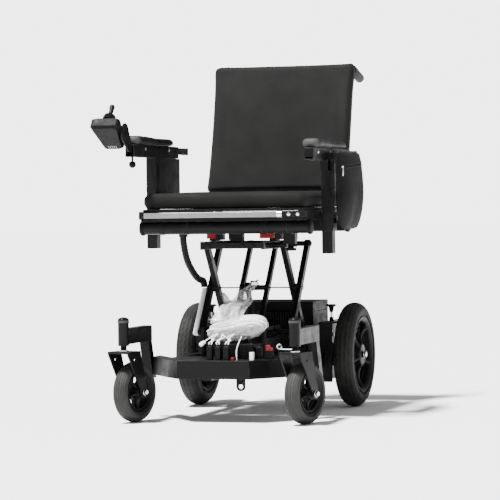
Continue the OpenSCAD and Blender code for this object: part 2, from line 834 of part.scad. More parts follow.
// Spines that stand on the lift platform, with the middle cross members
module seat_frame() {
    spine_low = cross_z - 13;
    color(black) {
        both_sides() {
            // spine over the platform's side plate
            difference() {
                tube_y([spine_x - spine_w / 2, cross_front_y, spine_low],
                    [spine_x + spine_w / 2, cross_rear_y, cross_z + 13], tube_wall);
                for (y = [cross_front_y, cross_rear_y]) rod_x(0, rail_out, y, cross_z, cross_d + 2 * fit);
            }
            // posts between the platform and the spine
            for (y = [latch_y + 16, rear_y - 20])
                block([spine_x - 13, y, plat_top], [spine_x + 11, y + 30, spine_low]);
            // middle cross member, from the spine to under the side rail
            tube_x([spine_x + spine_w / 2, latch_y - 25, cross_z - 15],
                [rail_out, latch_y + 5, seat_rail_z], tube_wall);
        }
        tube_x([-spine_x + spine_w / 2, latch_y - 25, spine_low + 2],
            [spine_x - spine_w / 2, latch_y + 5, cross_z + 13], tube_wall);
        // hanging block in the middle, and the knob's bracket at the right
        block([-28, latch_y - 20, plat_top], [10, latch_y, spine_low + 2]);
        difference() {
            block([knob_arm_x - 20, latch_y - 20, knob_arm_z], [knob_arm_x + 16, latch_y, cross_z - 15]);
            translate([knob_arm_x, latch_y - 10, knob_arm_z - e]) cylinder(h = 30, d = 8 + 2 * fit);
        }
        // gland of the wiring loom, on a tab in front of the middle cross member
        translate(loom_path[0]) cylinder(h = cross_z - 15 - loom_path[0][2], d = 26);
        block([loom_path[0][0] - 15, loom_path[0][1] - 15, cross_z - 15],
            [loom_path[0][0] + 15, latch_y - 25, cross_z - 12]);
    }
}

module seat_front_bar() {
    color(zinc) tube_x([bar_left, seat_front - front_bar_t, bar_z],
        [bar_split, seat_front, bar_z + front_bar_h], 2);
}

module seat_board() {
    color(black) block([-seat_w / 2 + 4, seat_front + 2, board_z],
        [seat_w / 2 - 4, seat_front + seat_depth - 4, seat_z]);
}

module seat_cushion() {
    color(rubber) soft_block([-seat_w / 2, seat_front, seat_z],
        [seat_w / 2, seat_front + seat_depth, seat_top], 18);
}

// Wiring loom from the seat frame down to the middle of the left arms
module seat_loom() {
    color(rubber) tube_along(loom_path, loom_d, 10);
}

// One red lever that latches the seat onto the platform
module latch_lever() {
    color([0.7, 0.12, 0.1]) {
        difference() {
            union() {
                rod_x(spine_x - 34, spine_x - 12, latch_y + 8, latch_z, 15);
                block([spine_x - 34, latch_y - 14, latch_z - 7], [spine_x + 9, latch_y + 8, latch_z + 7]);
                block([spine_x - 8, latch_y - 14, latch_z + 7], [spine_x + 3, latch_y - 6, latch_z + 13]);
            }
            rod_x(spine_x - 35, spine_x - 10, latch_y + 8, latch_z, 6 + 2 * fit);
            block([spine_x - 12, latch_y + 4, latch_z - 8], [spine_x + 10, latch_y + 9, latch_z + 8]);
        }
    }
    color(zinc) rod_x(spine_x - 36, spine_x - 11, latch_y + 8, latch_z, 6);
}

module latch_lever_left() { mirror([1, 0, 0]) latch_lever(); }
module latch_lever_right() { latch_lever(); }

// Thumb knob that clamps the seat at the right
module platform_knob() {
    color(black) translate([knob_arm_x, latch_y - 10, knob_arm_z]) {
        translate([0, 0, -16]) cylinder(h = 40, d = 8);
        translate([0, 0, -20]) cylinder(h = 8, d = 33);
        translate([0, 0, -12]) cylinder(h = 9, d1 = 20, d2 = 14);
    }
}

// ---------------------------------------------------------------- backrest

// Places the backrest, drawn upright about its hinge
module at_back() {
    translate([0, hinge_y, hinge_z]) rotate([-recline, 0, 0]) children();
}

module back_canes() {
    color(black) at_back() {
        both_sides() {
            translate([cane_x, 0, -14]) cylinder(h = cane_top + 14, d = cane_d);
            rod_x(cane_x, seat_rail_x - seat_rail_w / 2 - 0.6, 0, 0, back_pin_d);
            translate([cane_x, 0, cane_top]) sphere(d = cane_d);
            translate([cane_x, 0, cane_top]) rotate([-90, 0, 0]) cylinder(h = grip_len - 12, d = cane_d - 4);
        }
        for (z = [back_low + 40, back_low + back_h - 60]) difference() {
            rod_x(-cane_x, cane_x, 0, z, 20);
            both_sides() translate([cane_x, 0, 0]) cylinder(h = cane_top, d = cane_d);
        }
    }
}

module back_cushion() {
    color(rubber) at_back() translate([0, 0, back_low]) rotate([90, 0, 0])
        translate([0, 0, back_face - back_t]) linear_extrude(back_t)
        translate([-back_w / 2 + 22, 22]) offset(22) square([back_w - 44, back_h - 44]);
}

module hand_grips() {
    color(rubber) at_back() both_sides() translate([cane_x, 0, cane_top]) rotate([-90, 0, 0])
        difference() {
            translate([0, 0, 22]) cylinder(h = grip_len - 22, d = cane_d + 4);
            cylinder(h = grip_len - 12, d = cane_d - 4 + 2 * fit);
        }
}

// ---------------------------------------------------------------- armrests

// One armrest frame at the right side: post, channel under the pad and tail
module arm_frame(top, low) {
    g_top = top - pad_t;
    g_low = g_top - gusset_h;
    color(black) {
        tube_z([sock_x - post_w / 2, arm_y - post_w / 2, low],
            [sock_x + post_w / 2, arm_y + post_w / 2, g_low], tube_wall);
        difference() {
            tube_y([sock_x - gusset_w / 2, gusset_y0, g_low], [sock_x + gusset_w / 2, gusset_y1, g_top],
                gusset_wall);
            for (y = [gusset_hole_1, gusset_hole_2])
                rod_x(sock_x - gusset_w, sock_x + gusset_w, y, g_top - 12, 10);
            translate([sock_x, gusset_y0 + 22, g_low - e])
                cylinder(h = gusset_wall + 2 * e, d = clamp_screw_d + 2 * fit);
        }
        tube_y([sock_x - tail_w / 2, gusset_y1 - 30, g_top - gusset_wall - tail_w],
            [sock_x + tail_w / 2, tail_end, g_top - gusset_wall], 2);
    }
}

module arm_pad(top) {
    color(rubber) soft_block([sock_x - pad_w / 2, pad_y, top - pad_t],
        [sock_x + pad_w / 2, pad_y + pad_len, top], 9);
}

// Skirt plate between the occupant and the wheel
module side_panel(top) {
    color(black) block([sock_x - panel_t / 2, arm_y + post_w / 2, panel_low],
        [sock_x + panel_t / 2, panel_end, top - pad_t - gusset_h]);
}

// Clamp screw of the armrest post
module arm_knob() {
    color(black) {
        rod_x(sock_x + post_w / 2 + 0.4, sock_x + sock_out / 2 + 2, arm_y, arm_knob_z, arm_screw_d);
        rod_x(sock_x + sock_out / 2 + gap, sock_x + sock_out / 2 + 14, arm_y, arm_knob_z, 16);
    }
}

module arm_frame_left() { mirror([1, 0, 0]) arm_frame(arm_top_left, cross_z - post_below); }
module arm_pad_left() { mirror([1, 0, 0]) arm_pad(arm_top_left); }
module side_panel_left() { mirror([1, 0, 0]) side_panel(arm_top_left); }
module arm_knob_left() { mirror([1, 0, 0]) arm_knob(); }
module arm_frame_right() {
    arm_frame(arm_top_right, cross_z - post_below - arm_drop_right);
    // block at the front of the post, under the pad
    color(grey) block([sock_x - 12, arm_y - post_w / 2 - 24, arm_top_right - pad_t - gusset_h - 30],
        [sock_x + 12, arm_y - post_w / 2, arm_top_right - pad_t - gusset_h]);
}
module arm_pad_right() { arm_pad(arm_top_right); }
module side_panel_right() { side_panel(arm_top_right); }
module arm_knob_right() { arm_knob(); }

// Bag on the outer side of the right armrest, hung from two tabs
module side_bag() {
    top = arm_top_right - pad_t;
    color(rubber) {
        hull() {
            block([bag_x, bag_y0 + 6, top - 50], [bag_x + 20, bag_y1 - 6, top - 4]);
            translate([bag_x + 5, bag_y0 + 30, bag_low + 40]) rotate([0, 90, 0])
                cylinder(h = 30, r = 34, $fn = 32);
            translate([bag_x + 5, bag_y1 - 46, bag_low + 46]) rotate([0, 90, 0])
                cylinder(h = 30, r = 44, $fn = 32);
        }
        for (y = [bag_y0 + 30, bag_y1 - 60])
            block([sock_x + gusset_w / 2, y, top - 30], [bag_x, y + 24, top - 8]);
    }
}

// ---------------------------------------------------------------- joystick

// Bar that carries the pod and slides in the left armrest's channel
module pod_mount() {
    g_top = arm_top_left - pad_t;
    bar_top = g_top - gusset_wall - gap;
    color(black) {
        block([-sock_x - bar_w / 2, gusset_y0 - 4, bar_top - bar_w],
            [-sock_x + bar_w / 2, bar_end, bar_top]);
        // upright plate with the pod's pivot at its front
        difference() {
            union() {
                plate_x(pod_plate_x, pod_plate_x + pod_plate_t) polygon([
                    [pod_pivot[1] - 20, pod_pivot[2] - 20], [gusset_y0 - 34, bar_top - bar_w],
                    [gusset_y0 - 4, bar_top - bar_w], [gusset_y0 - 4, bar_top],
                    [pod_pivot[1] + 20, pod_pivot[2] + 20]
                ]);
                rod_x(pod_plate_x, pod_plate_x + pod_plate_t, pod_pivot[1], pod_pivot[2], 58);
                block([-sock_x - bar_w / 2, gusset_y0 - 8, bar_top - bar_w],
                    [pod_plate_x + pod_plate_t, gusset_y0 - 4, bar_top]);
            }
            rod_x(pod_x, 0, pod_pivot[1], pod_pivot[2], pod_pin_d + 2 * fit);
            rod_x(pod_x, 0, pod_pivot[1] + 17, pod_pivot[2] + 9, 9);
        }
    }
}

// Ball knob that clamps the pod's bar in the armrest
module pod_clamp_knob() {
    g_top = arm_top_left - pad_t;
    ball_z = g_top - gusset_h - 22;
    screw_top = g_top - gusset_wall - bar_w - 2 * gap;
    color(black) translate([-sock_x, gusset_y0 + 22, ball_z]) {
        cylinder(h = screw_top - ball_z, d = clamp_screw_d);
        sphere(d = 21);
    }
}

// Places the pod, drawn level about its middle with its front toward -Y
module at_pod() {
    translate([pod_x, pod_pivot[1], pod_pivot[2]]) rotate([-pod_tilt, 0, 0]) children();
}

// Plan of the pod: wide at the front and narrow at the rear
module pod_plan(inset) {
    offset(10) offset(-10 - inset) polygon([
        [-pod_w / 2, -pod_len / 2], [pod_w / 2, -pod_len / 2],
        [pod_low_w / 2, pod_len / 2], [-pod_low_w / 2, pod_len / 2]
    ]);
}

module pod_case() {
    color(black) at_pod() {
        difference() {
            hull() {
                translate([0, 0, -pod_t / 2]) linear_extrude(1) pod_plan(6);
                translate([0, 0, -pod_t / 2 + 8]) linear_extrude(pod_t - 16) pod_plan(0);
                translate([0, 0, pod_t / 2 - 1]) linear_extrude(1) pod_plan(8);
            }
            // well under the joystick
            translate([0, stick_y, gimbal_z - 16]) cylinder(h = pod_t, d = 34);
            // seat of the push button
            translate([0, stick_y + 52, pod_t / 2 - 6]) cylinder(h = 10, d = 14 + 2 * gap);
        }
    }
    // pivot pin into the mount's plate
    color(zinc) rod_x(pod_pin_in, pod_plate_x + pod_plate_t + 3, pod_pivot[1], pod_pivot[2], pod_pin_d);
}

module pod_button() {
    color(grey) at_pod() translate([0, stick_y + 52, pod_t / 2 - 4]) cylinder(h = 6, d = 14);
}

// Ring that tips fore and aft on stub pins in the well's wall
module joystick_gimbal() {
    color(zinc) at_pod() translate([0, stick_y, gimbal_z]) {
        difference() {
            translate([0, 0, -3]) cylinder(h = 6, d = 26);
            translate([0, 0, -4]) cylinder(h = 8, d = 18);
        }
        both_sides() rod_x(12.6, 16.9, 0, 0, 3);
    }
}

// Joystick with its bellows boot
module joystick() {
    color(black) at_pod() translate([0, stick_y, gimbal_z]) {
        translate([0, 0, -6]) cylinder(h = 34, d = 8);
        translate([0, -8.9, 0]) rotate([-90, 0, 0]) cylinder(h = 17.8, d = 3);
        rotate_extrude() polygon([
            [3, 15.5], [boot_d / 2, 15.5], [boot_d / 2 - 3, 18], [boot_d / 2 - 1, 20.5],
            [boot_d / 2 - 6, 23], [boot_d / 2 - 4, 26], [8, 30], [5, 34],
            [5.5, 40], [7, 52], [6, stick_len - 1], [4, stick_len], [0, stick_len], [0, 28], [3, 28]
        ]);
    }
}

// ---------------------------------------------------------------- wheels

// Places one caster, drawn about its stem with the wheel straight behind it
module at_caster(side) {
    translate([side * stem_x, stem_y, 0]) rotate([0, 0, -caster_turn]) children();
}

module caster_fork() {
    leg_in = fork_half;
    leg_out = fork_half + fork_leg_t;
    color(black) {
        // top plate
        block([-leg_out, -30, fork_top - fork_plate_t], [leg_out, 34, fork_top]);
        // legs
        both_sides() difference() {
            union() {
                plate_x(leg_in, leg_out) polygon([
                    [-30, fork_top - fork_plate_t], [34, fork_top - fork_plate_t],
                    [caster_trail + 16, caster_d / 2], [caster_trail - 16, caster_d / 2]
                ]);
                rod_x(leg_in, leg_out, caster_trail, caster_d / 2, 32);
            }
            rod_x(leg_in - e, leg_out + e, caster_trail, caster_d / 2, caster_axle_d + 2 * fit);
            rod_x(leg_in - e, leg_out + e, 4, fork_top - 24, 8);
        }
    }
    color(zinc) {
        translate([0, 0, fork_top]) cylinder(h = spacer_h - gap, d = stem_d + 6);
        translate([0, 0, fork_top + spacer_h - gap]) cylinder(h = barrel_h - 2, d = stem_d);
        // upper and lower bearing on the stem
        for (z = [0, barrel_h - bearing_h - 3])
            translate([0, 0, fork_top + spacer_h + z]) cylinder(h = bearing_h, d = bearing_d - 2 * fit);
        // axle bolt with its head and nut, and the spacers beside the hub
        rod_x(-leg_out - 4, leg_out + 4, caster_trail, caster_d / 2, caster_axle_d);
        both_sides() {
            difference() {
                rod_x(leg_out, leg_out + 7, caster_trail, caster_d / 2, 17);
                rod_x(leg_out - e, leg_out + 4, caster_trail, caster_d / 2, caster_axle_d);
            }
            difference() {
                rod_x(caster_hub_half + gap, leg_in, caster_trail, caster_d / 2, 16);
                rod_x(0, leg_in + e, caster_trail, caster_d / 2, caster_axle_d + 2 * fit);
            }
        }
    }
}

// Section of a tyre: rounded tread, straight walls and the inner seat
function tyre_section(d, w, bead, shoulder) = concat(
    [[bead / 2, -w * 0.36], [d / 2 - shoulder * 1.6, -w / 2]],
    [for (a = [-90:15:90]) [d / 2 - shoulder + shoulder * cos(a), sin(a) * w / 2]],
    [[d / 2 - shoulder * 1.6, w / 2], [bead / 2, w * 0.36]]
);

module tyre(d, w, bead, shoulder) {
    rotate([0, 90, 0]) rotate_extrude($fn = 96) polygon(tyre_section(d, w, bead, shoulder));
}

// A cast wheel body with slots between its spokes
module wheel_body(bead, w, hub_d, hub_half, bore, spokes, web_t) {
    rim_t = 9;
    difference() {
        union() {
            difference() {
                rod_x(-w * 0.36, w * 0.36, 0, 0, bead);
                rod_x(-w, w, 0, 0, bead - 2 * rim_t);
            }
            rod_x(-web_t / 2, web_t / 2, 0, 0, bead - rim_t);
            rod_x(-hub_half, hub_half, 0, 0, hub_d);
        }
        rod_x(-w, w, 0, 0, bore);
        for (i = [0:spokes - 1]) rotate([i * 360 / spokes, 0, 0]) {
            r_in = hub_d / 2 + 6;
            r_out = bead / 2 - rim_t - 6;
            plate_x(-w, w) polygon([
                [-r_in * 0.3, r_in], [r_in * 0.3, r_in],
                [r_out * 0.42, r_out * 0.88], [0, r_out], [-r_out * 0.42, r_out * 0.88]
            ]);
        }
    }
}

module caster_tyre() {
    color([0.45, 0.45, 0.45]) translate([0, caster_trail, caster_d / 2])
        tyre(caster_d, caster_tyre_w, caster_bead_d, 14);
}

module caster_rim() {
    color(black) translate([0, caster_trail, caster_d / 2])
        wheel_body(caster_bead_d, caster_tyre_w, 34, caster_hub_half, caster_axle_d + 2 * fit, 5, 8);
}

module caster_fork_left() { at_caster(-1) caster_fork(); }
module caster_tyre_left() { at_caster(-1) caster_tyre(); }
module caster_rim_left() { at_caster(-1) caster_rim(); }
module caster_fork_right() { at_caster(1) caster_fork(); }
module caster_tyre_right() { at_caster(1) caster_tyre(); }
module caster_rim_right() { at_caster(1) caster_rim(); }

module drive_tyre() {
    color(rubber) translate([wheel_x, axle_y, axle_z])
        tyre(drive_d, drive_tyre_w, drive_bead_d, 26);
}

module drive_rim() {
    shaft_in = rail_half - 24 - wheel_x;
    color(black) translate([wheel_x, axle_y, axle_z])
        wheel_body(drive_bead_d, drive_tyre_w, 60, drive_hub_half, drive_shaft_d + 2 * fit, 5, 12);
    color(zinc) translate([wheel_x, axle_y, axle_z]) {
        rod_x(shaft_in, drive_hub_half + 4, 0, 0, drive_shaft_d);
        rod_x(drive_hub_half + 4, drive_hub_half + 10, 0, 0, 24);
    }
}

module drive_tyre_left() { mirror([1, 0, 0]) drive_tyre(); }
module drive_rim_left() { mirror([1, 0, 0]) drive_rim(); }
module drive_tyre_right() { drive_tyre(); }
module drive_rim_right() { drive_rim(); }

// ---------------------------------------------------------------- sweep

// A round tube along a list of points, as one closed polyhedron
module tube_along(path, d, sides) {
    n = len(path);
    rings = [for (i = [0:n - 1])
        let (
            t = unit(path[min(i + 1, n - 1)] - path[max(i - 1, 0)]),
            u = unit(cross([1, 0, 0], t)), v = cross(t, u)
        )
        for (k = [0:sides - 1]) let (a = k * 360 / sides)
            path[i] + d / 2 * (cos(a) * u + sin(a) * v)];
    faces = concat(
        [[for (k = [0:sides - 1]) k]],
        [for (i = [0:n - 2], k = [0:sides - 1])
            let (a = i * sides + k, b = i * sides + (k + 1) % sides)
            [a, a + sides, b + sides, b]],
        [[for (k = [sides - 1:-1:0]) (n - 1) * sides + k]]
    );
    polyhedron(points = rings, faces = faces, convexity = 4);
}

chassis_rails();
front_beam();
neck_arms();
tie_down_eye();
junction_box();
wire_hank();
lift_brackets();
motor_brackets();
drive_motors();
battery_case();
battery_lid();
battery_pack();
power_module();
freewheel_knob_left();
freewheel_knob_right();
actuator_tube();
actuator_rod();
lift_arms_a();
lift_arms_b();
lift_shafts();
conduit_sleeve();
lift_platform();
seat_frame();
seat_rails();
seat_cross_tubes();
seat_board();
seat_front_bar();
seat_cushion();
seat_loom();
latch_lever_left();
latch_lever_right();
platform_knob();
back_canes();
back_cushion();
hand_grips();
arm_frame_left();
arm_pad_left();
side_panel_left();
arm_knob_left();
arm_frame_right();
arm_pad_right();
side_panel_right();
arm_knob_right();
side_bag();
pod_mount();
pod_clamp_knob();
pod_case();
pod_button();
joystick_gimbal();
joystick();
caster_fork_left();
caster_tyre_left();
caster_rim_left();
caster_fork_right();
caster_tyre_right();
caster_rim_right();
drive_tyre_left();
drive_rim_left();
drive_tyre_right();
drive_rim_right();
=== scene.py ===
"""Looks of the power wheelchair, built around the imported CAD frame."""

import json
import math
import random

import bmesh
import bpy
import numpy as np
from mathutils import Matrix, Vector, noise
from mathutils.bvhtree import BVHTree


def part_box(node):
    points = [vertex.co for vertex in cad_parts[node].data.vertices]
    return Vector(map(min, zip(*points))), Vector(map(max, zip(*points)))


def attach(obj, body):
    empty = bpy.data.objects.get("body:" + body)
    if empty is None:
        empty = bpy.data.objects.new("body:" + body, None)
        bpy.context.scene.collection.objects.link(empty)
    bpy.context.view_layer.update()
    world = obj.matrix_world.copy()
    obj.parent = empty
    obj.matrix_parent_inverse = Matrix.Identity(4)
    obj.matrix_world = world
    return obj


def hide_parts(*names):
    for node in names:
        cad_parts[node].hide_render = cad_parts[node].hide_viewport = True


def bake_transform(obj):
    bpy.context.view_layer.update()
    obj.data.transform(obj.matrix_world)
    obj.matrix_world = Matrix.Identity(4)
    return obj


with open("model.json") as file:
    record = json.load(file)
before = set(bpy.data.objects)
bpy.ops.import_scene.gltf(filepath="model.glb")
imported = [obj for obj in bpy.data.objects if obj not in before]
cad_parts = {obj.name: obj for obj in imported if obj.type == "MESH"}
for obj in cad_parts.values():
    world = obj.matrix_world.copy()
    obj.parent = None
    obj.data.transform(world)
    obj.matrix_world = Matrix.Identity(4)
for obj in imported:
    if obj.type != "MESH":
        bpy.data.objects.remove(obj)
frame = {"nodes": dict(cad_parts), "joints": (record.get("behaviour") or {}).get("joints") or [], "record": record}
scene = bpy.context.scene
nodes = frame["nodes"]
joints = {j["name"]: j for j in frame["joints"]}
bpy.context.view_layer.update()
random.seed(7)


def mm(*values):
    """Millimetres as a point in metres."""
    return Vector([v / 1000 for v in values])


def pivot(name):
    return Vector(joints[name]["pos_m"])


# ------------------------------------------------------------------ camera

TURN, PITCH, ROLL = 0.3016, 0.0188, -0.0142
DISTANCE, SHIFT, HEIGHT, FORWARD = 7.4434, -0.0195, 0.4879, 0.012
back = Vector((
    math.sin(TURN) * math.cos(PITCH), -math.cos(TURN) * math.cos(PITCH), math.sin(PITCH)
))
right = Vector((math.cos(TURN), math.sin(TURN), 0))
up = back.cross(right)
camera = bpy.data.objects.new("camera", bpy.data.cameras.new("camera"))
scene.collection.objects.link(camera)
camera.data.sensor_width = 36
camera.data.lens = 176.65
camera.data.clip_end = 60
axis_x = right * math.cos(ROLL) + up * math.sin(ROLL)
axis_y = up * math.cos(ROLL) - right * math.sin(ROLL)
place = Vector((0, FORWARD, HEIGHT)) + back * DISTANCE + right * SHIFT
camera.matrix_world = Matrix((
    (axis_x.x, axis_y.x, back.x, place.x),
    (axis_x.y, axis_y.y, back.y, place.y),
    (axis_x.z, axis_y.z, back.z, place.z),
    (0, 0, 0, 1),
))
scene.camera = camera


# ------------------------------------------------------------------ materials

class Finish:
    """A material whose colour, roughness and bump are worked out by nodes."""

    def __init__(self, name, colour, rough, metal=0.0, **sockets):
        self.material = bpy.data.materials.new(name)
        self.material.use_nodes = True
        tree = self.material.node_tree
        self.nodes, self.links = tree.nodes, tree.links
        self.shader = self.nodes["Principled BSDF"]
        self.shader.inputs["Metallic"].default_value = metal
        for key, value in sockets.items():
            self.shader.inputs[key.replace("_", " ")].default_value = value
        self.place = self.nodes.new("ShaderNodeTexCoord").outputs["Object"]
        self.shader.inputs["Base Color"].default_value = (*colour, 1)
        self.shader.inputs["Roughness"].default_value = rough
        self.colour = (*colour, 1)
        self.normal = None

    def mapped(self, stretch=(1, 1, 1), turn=(0, 0, 0)):
        node = self.nodes.new("ShaderNodeMapping")
        node.inputs["Scale"].default_value = stretch
        node.inputs["Rotation"].default_value = turn
        self.links.new(self.place, node.inputs["Vector"])
        return node.outputs["Vector"]

    def cloud(self, scale, detail=3.0, rough=0.5, stretch=None, warp=0.0):
        node = self.nodes.new("ShaderNodeTexNoise")
        node.inputs["Scale"].default_value = scale
        node.inputs["Detail"].default_value = detail
        node.inputs["Roughness"].default_value = rough
        node.inputs["Distortion"].default_value = warp
        self.links.new(self.mapped(stretch) if stretch else self.place, node.inputs["Vector"])
        return node.outputs[0]

    def cells(self, scale, turn=(0, 0, 0)):
        """A regular lattice of dots, which reads as a woven ground."""
        node = self.nodes.new("ShaderNodeTexVoronoi")
        node.inputs["Scale"].default_value = scale
        node.inputs["Randomness"].default_value = 0.0
        self.links.new(self.mapped((1, 1, 1), turn), node.inputs["Vector"])
        return node.outputs["Distance"]

    def span(self, source, low, high, to_low=0.0, to_high=1.0):
        node = self.nodes.new("ShaderNodeMapRange")
        for i, v in enumerate((low, high, to_low, to_high)):
            node.inputs[i + 1].default_value = v
        self.links.new(source, node.inputs[0])
        return node.outputs[0]

    def blend(self, factor, colour):
        """Mixes another colour in where the factor is high."""
        node = self.nodes.new("ShaderNodeMixRGB")
        self.links.new(factor, node.inputs[0])
        if isinstance(self.colour, tuple):
            node.inputs[1].default_value = self.colour
        else:
            self.links.new(self.colour, node.inputs[1])
        node.inputs[2].default_value = (*colour, 1)
        self.colour = node.outputs[0]
        self.links.new(self.colour, self.shader.inputs["Base Color"])
        return self

    def sheen(self, source, low, high):
        self.links.new(self.span(source, 0.3, 0.7, low, high), self.shader.inputs["Roughness"])
        return self

    def bump(self, source, strength, depth):
        node = self.nodes.new("ShaderNodeBump")
        node.inputs["Strength"].default_value = strength
        node.inputs["Distance"].default_value = depth
        self.links.new(source, node.inputs["Height"])
        if self.normal is not None:
            self.links.new(self.normal, node.inputs["Normal"])
        self.normal = node.outputs[0]
        self.links.new(self.normal, self.shader.inputs["Normal"])
        return self

    def edge_wear_and_highlight(self, radius, colour, low=0.012, high=0.09):
        """Lighter edges, found where a bevelled normal leaves the true one and broken up by noise; they stand for
        edge wear and also for a painted highlight along the edges.
        """
        soft = self.nodes.new("ShaderNodeBevel")
        soft.samples = 4
        soft.inputs["Radius"].default_value = radius
        true = self.nodes.new("ShaderNodeNewGeometry")
        dot = self.nodes.new("ShaderNodeVectorMath")
        dot.operation = "DOT_PRODUCT"
        self.links.new(soft.outputs[0], dot.inputs[0])
        self.links.new(true.outputs["Normal"], dot.inputs[1])
        edge = self.span(dot.outputs["Value"], 1 - low, 1 - high)
        rub = self.nodes.new("ShaderNodeMath")
        rub.operation = "MULTIPLY"
        self.links.new(edge, rub.inputs[0])
        self.links.new(self.span(self.cloud(38, 4, 0.6), 0.42, 0.62), rub.inputs[1])
        return self.blend(rub.outputs[0], colour)


def painted(name, colour, rough=0.38):
    f = Finish(name, colour, rough, Specular_IOR_Level=0.08)
    f.blend(f.span(f.cloud(9, 4, 0.55), 0.42, 0.72, 0, 0.55), tuple(c * 1.6 for c in colour))
    # lighter edges: edge wear and a painted edge highlight
    f.edge_wear_and_highlight(0.0016, (0.06, 0.06, 0.058))
    f.sheen(f.cloud(26, 4, 0.6), rough - 0.08, rough + 0.14)
    return f.bump(f.cloud(520, 2, 0.4), 0.25, 0.0006)


def metal(name, colour, rough, stretch=(4, 4, 160)):
    f = Finish(name, colour, rough, 1.0)
    f.blend(f.span(f.cloud(30, 5, 0.6), 0.45, 0.75, 0, 0.5), tuple(c * 0.55 for c in colour))
    f.sheen(f.cloud(18, 4, 0.6, stretch), rough - 0.1, rough + 0.16)
    return f.bump(f.cloud(12, 4, 0.6, stretch), 0.12, 0.0005)


def plastic(name, colour, rough=0.5, grain=900, depth=0.0004):
    f = Finish(name, colour, rough, Specular_IOR_Level=0.08)
    lighter = tuple(min(1, c * 1.7) for c in colour)
    f.blend(f.span(f.cloud(14, 4, 0.6), 0.45, 0.75, 0, 0.45), lighter)
    # lighter edges: edge wear and a painted edge highlight
    f.edge_wear_and_highlight(0.0010, tuple(min(1, c * 3 + 0.03) for c in colour))
    f.sheen(f.cloud(40, 3, 0.5), rough - 0.08, rough + 0.12)
    return f.bump(f.cloud(grain, 2, 0.5), 0.35, depth)


def rubber(name, colour, rough=0.72, dust=(0.16, 0.155, 0.145), much=0.3):
    f = Finish(name, colour, rough, Specular_IOR_Level=0.12)
    f.blend(f.span(f.cloud(16, 5, 0.65), 0.4, 0.75, 0, much), dust)
    f.sheen(f.cloud(22, 4, 0.6), rough - 0.1, rough + 0.12)
    return f.bump(f.cloud(700, 3, 0.6), 0.4, 0.0005)


def cloth(name, colour, turn=(0, 0, 0), pitch=560, fold=0.3):
    f = Finish(name, colour, 0.78,
               Specular_IOR_Level=0.08, Sheen_Weight=0.01, Sheen_Roughness=0.45)
    f.shader.inputs["Sheen Tint"].default_value = (0.8, 0.8, 0.78, 1)
    f.blend(f.span(f.cloud(7, 4, 0.6), 0.4, 0.75, 0, 0.5), tuple(c * 1.5 for c in colour))
    f.blend(f.span(f.cells(pitch, turn), 0.35, 0.75, 0, 0.35), tuple(c * 0.45 for c in colour))
    f.sheen(f.cloud(11, 3, 0.5), 0.68, 0.88)
    f.bump(f.cells(pitch, turn), 0.5, 0.0006)
    return f.bump(f.cloud(14, 4, 0.55, warp=0.4), fold, 0.004)


RECLINE = math.radians(15)
FRAME = painted("frame_paint", (0.0045, 0.0045, 0.0045), 0.36)
FORK = painted("fork_paint", (0.0045, 0.0045, 0.0044), 0.34)
CAP = painted("cap_paint", (0.035, 0.035, 0.034), 0.16)
ZINC = metal("zinc_plate", (0.62, 0.63, 0.64), 0.3)
BRIGHT = metal("bright_steel", (0.78, 0.78, 0.77), 0.22, (60, 60, 60))
SILVER = metal("anodised_bar", (0.24, 0.24, 0.237), 0.3, (2, 90, 90))
CASTING = painted("casting_paint", (0.006, 0.006, 0.006), 0.5)
BLACK = plastic("moulded_black", (0.0032, 0.0032, 0.0032))
RIM = plastic("rim_plastic", (0.0055, 0.0055, 0.0053), 0.42, 500)
GREY = plastic("moulded_grey", (0.0075, 0.0075, 0.0073))
PALE = plastic("conduit_plastic", (0.78, 0.78, 0.76), 0.4)
RED = plastic("lever_plastic", (0.20, 0.010, 0.012), 0.4)
SEAT = cloth("seat_fabric", (0.0070, 0.0070, 0.0067))
BACKREST = cloth("back_fabric", (0.0095, 0.0095, 0.0091), (RECLINE, 0, 0), fold=0.14)
BAGCLOTH = cloth("bag_fabric", (0.0042, 0.0042, 0.0040), pitch=420, fold=0.22)
TRIM = cloth("seam_tape", (0.0060, 0.0060, 0.0060), pitch=900, fold=0.0)
THREAD = cloth("stitch_thread", (0.03, 0.03, 0.029), pitch=1500, fold=0.0)
PAD = rubber("pad_skin", (0.0060, 0.0060, 0.0058), 0.5, (0.014, 0.014, 0.0135), 0.35)
# painted highlight: the front end of each arm pad, which faces the lamps, is mixed to a lighter grey
split = PAD.nodes.new("ShaderNodeSeparateXYZ")
PAD.links.new(PAD.place, split.inputs[0])
PAD.blend(PAD.span(split.outputs["Y"], -0.317, -0.330), (0.040, 0.040, 0.0385))
GRIP = rubber("grip_rubber", (0.006, 0.006, 0.006), 0.6, (0.016, 0.016, 0.016), 0.3)
SOFT = rubber("boot_rubber", (0.005, 0.005, 0.005), 0.5, (0.014, 0.014, 0.014), 0.3)
TYRE = rubber("drive_tyre_rubber", (0.010, 0.010, 0.0097), 0.66, (0.034, 0.0335, 0.032), 0.55)
TREAD = rubber("caster_tyre_rubber", (0.023, 0.023, 0.0222), 0.62, (0.056, 0.056, 0.054), 0.5)
BOARD = plastic("board_paint", (0.008, 0.0075, 0.007), 0.6, 160, 0.0008)
LOOM = rubber("loom_sleeve", (0.005, 0.005, 0.005), 0.62, (0.012, 0.012, 0.012), 0.3)
WIRE = plastic("wire_jacket", (0.8, 0.8, 0.78), 0.35)


def film(name, colour, clear):
    """Thin crinkled plastic film, part of it see-through."""
    f = Finish(name, colour, 0.22, Specular_IOR_Level=0.7, Coat_Weight=0.4, Coat_Roughness=0.15)
    f.sheen(f.cloud(30, 4, 0.6), 0.12, 0.4)
    f.bump(f.cloud(28, 5, 0.7, warp=1.2), 0.9, 0.006)
    f.links.new(
        f.span(f.cloud(24, 5, 0.65, warp=1.0), 0.35, 0.68, clear, min(1, clear + 0.42)),
        f.shader.inputs["Alpha"],
    )
    return f


FILM = film("clear_film", (0.72, 0.73, 0.72), 0.20)
TAIL = film("film_tail", (0.05, 0.052, 0.052), 0.50)

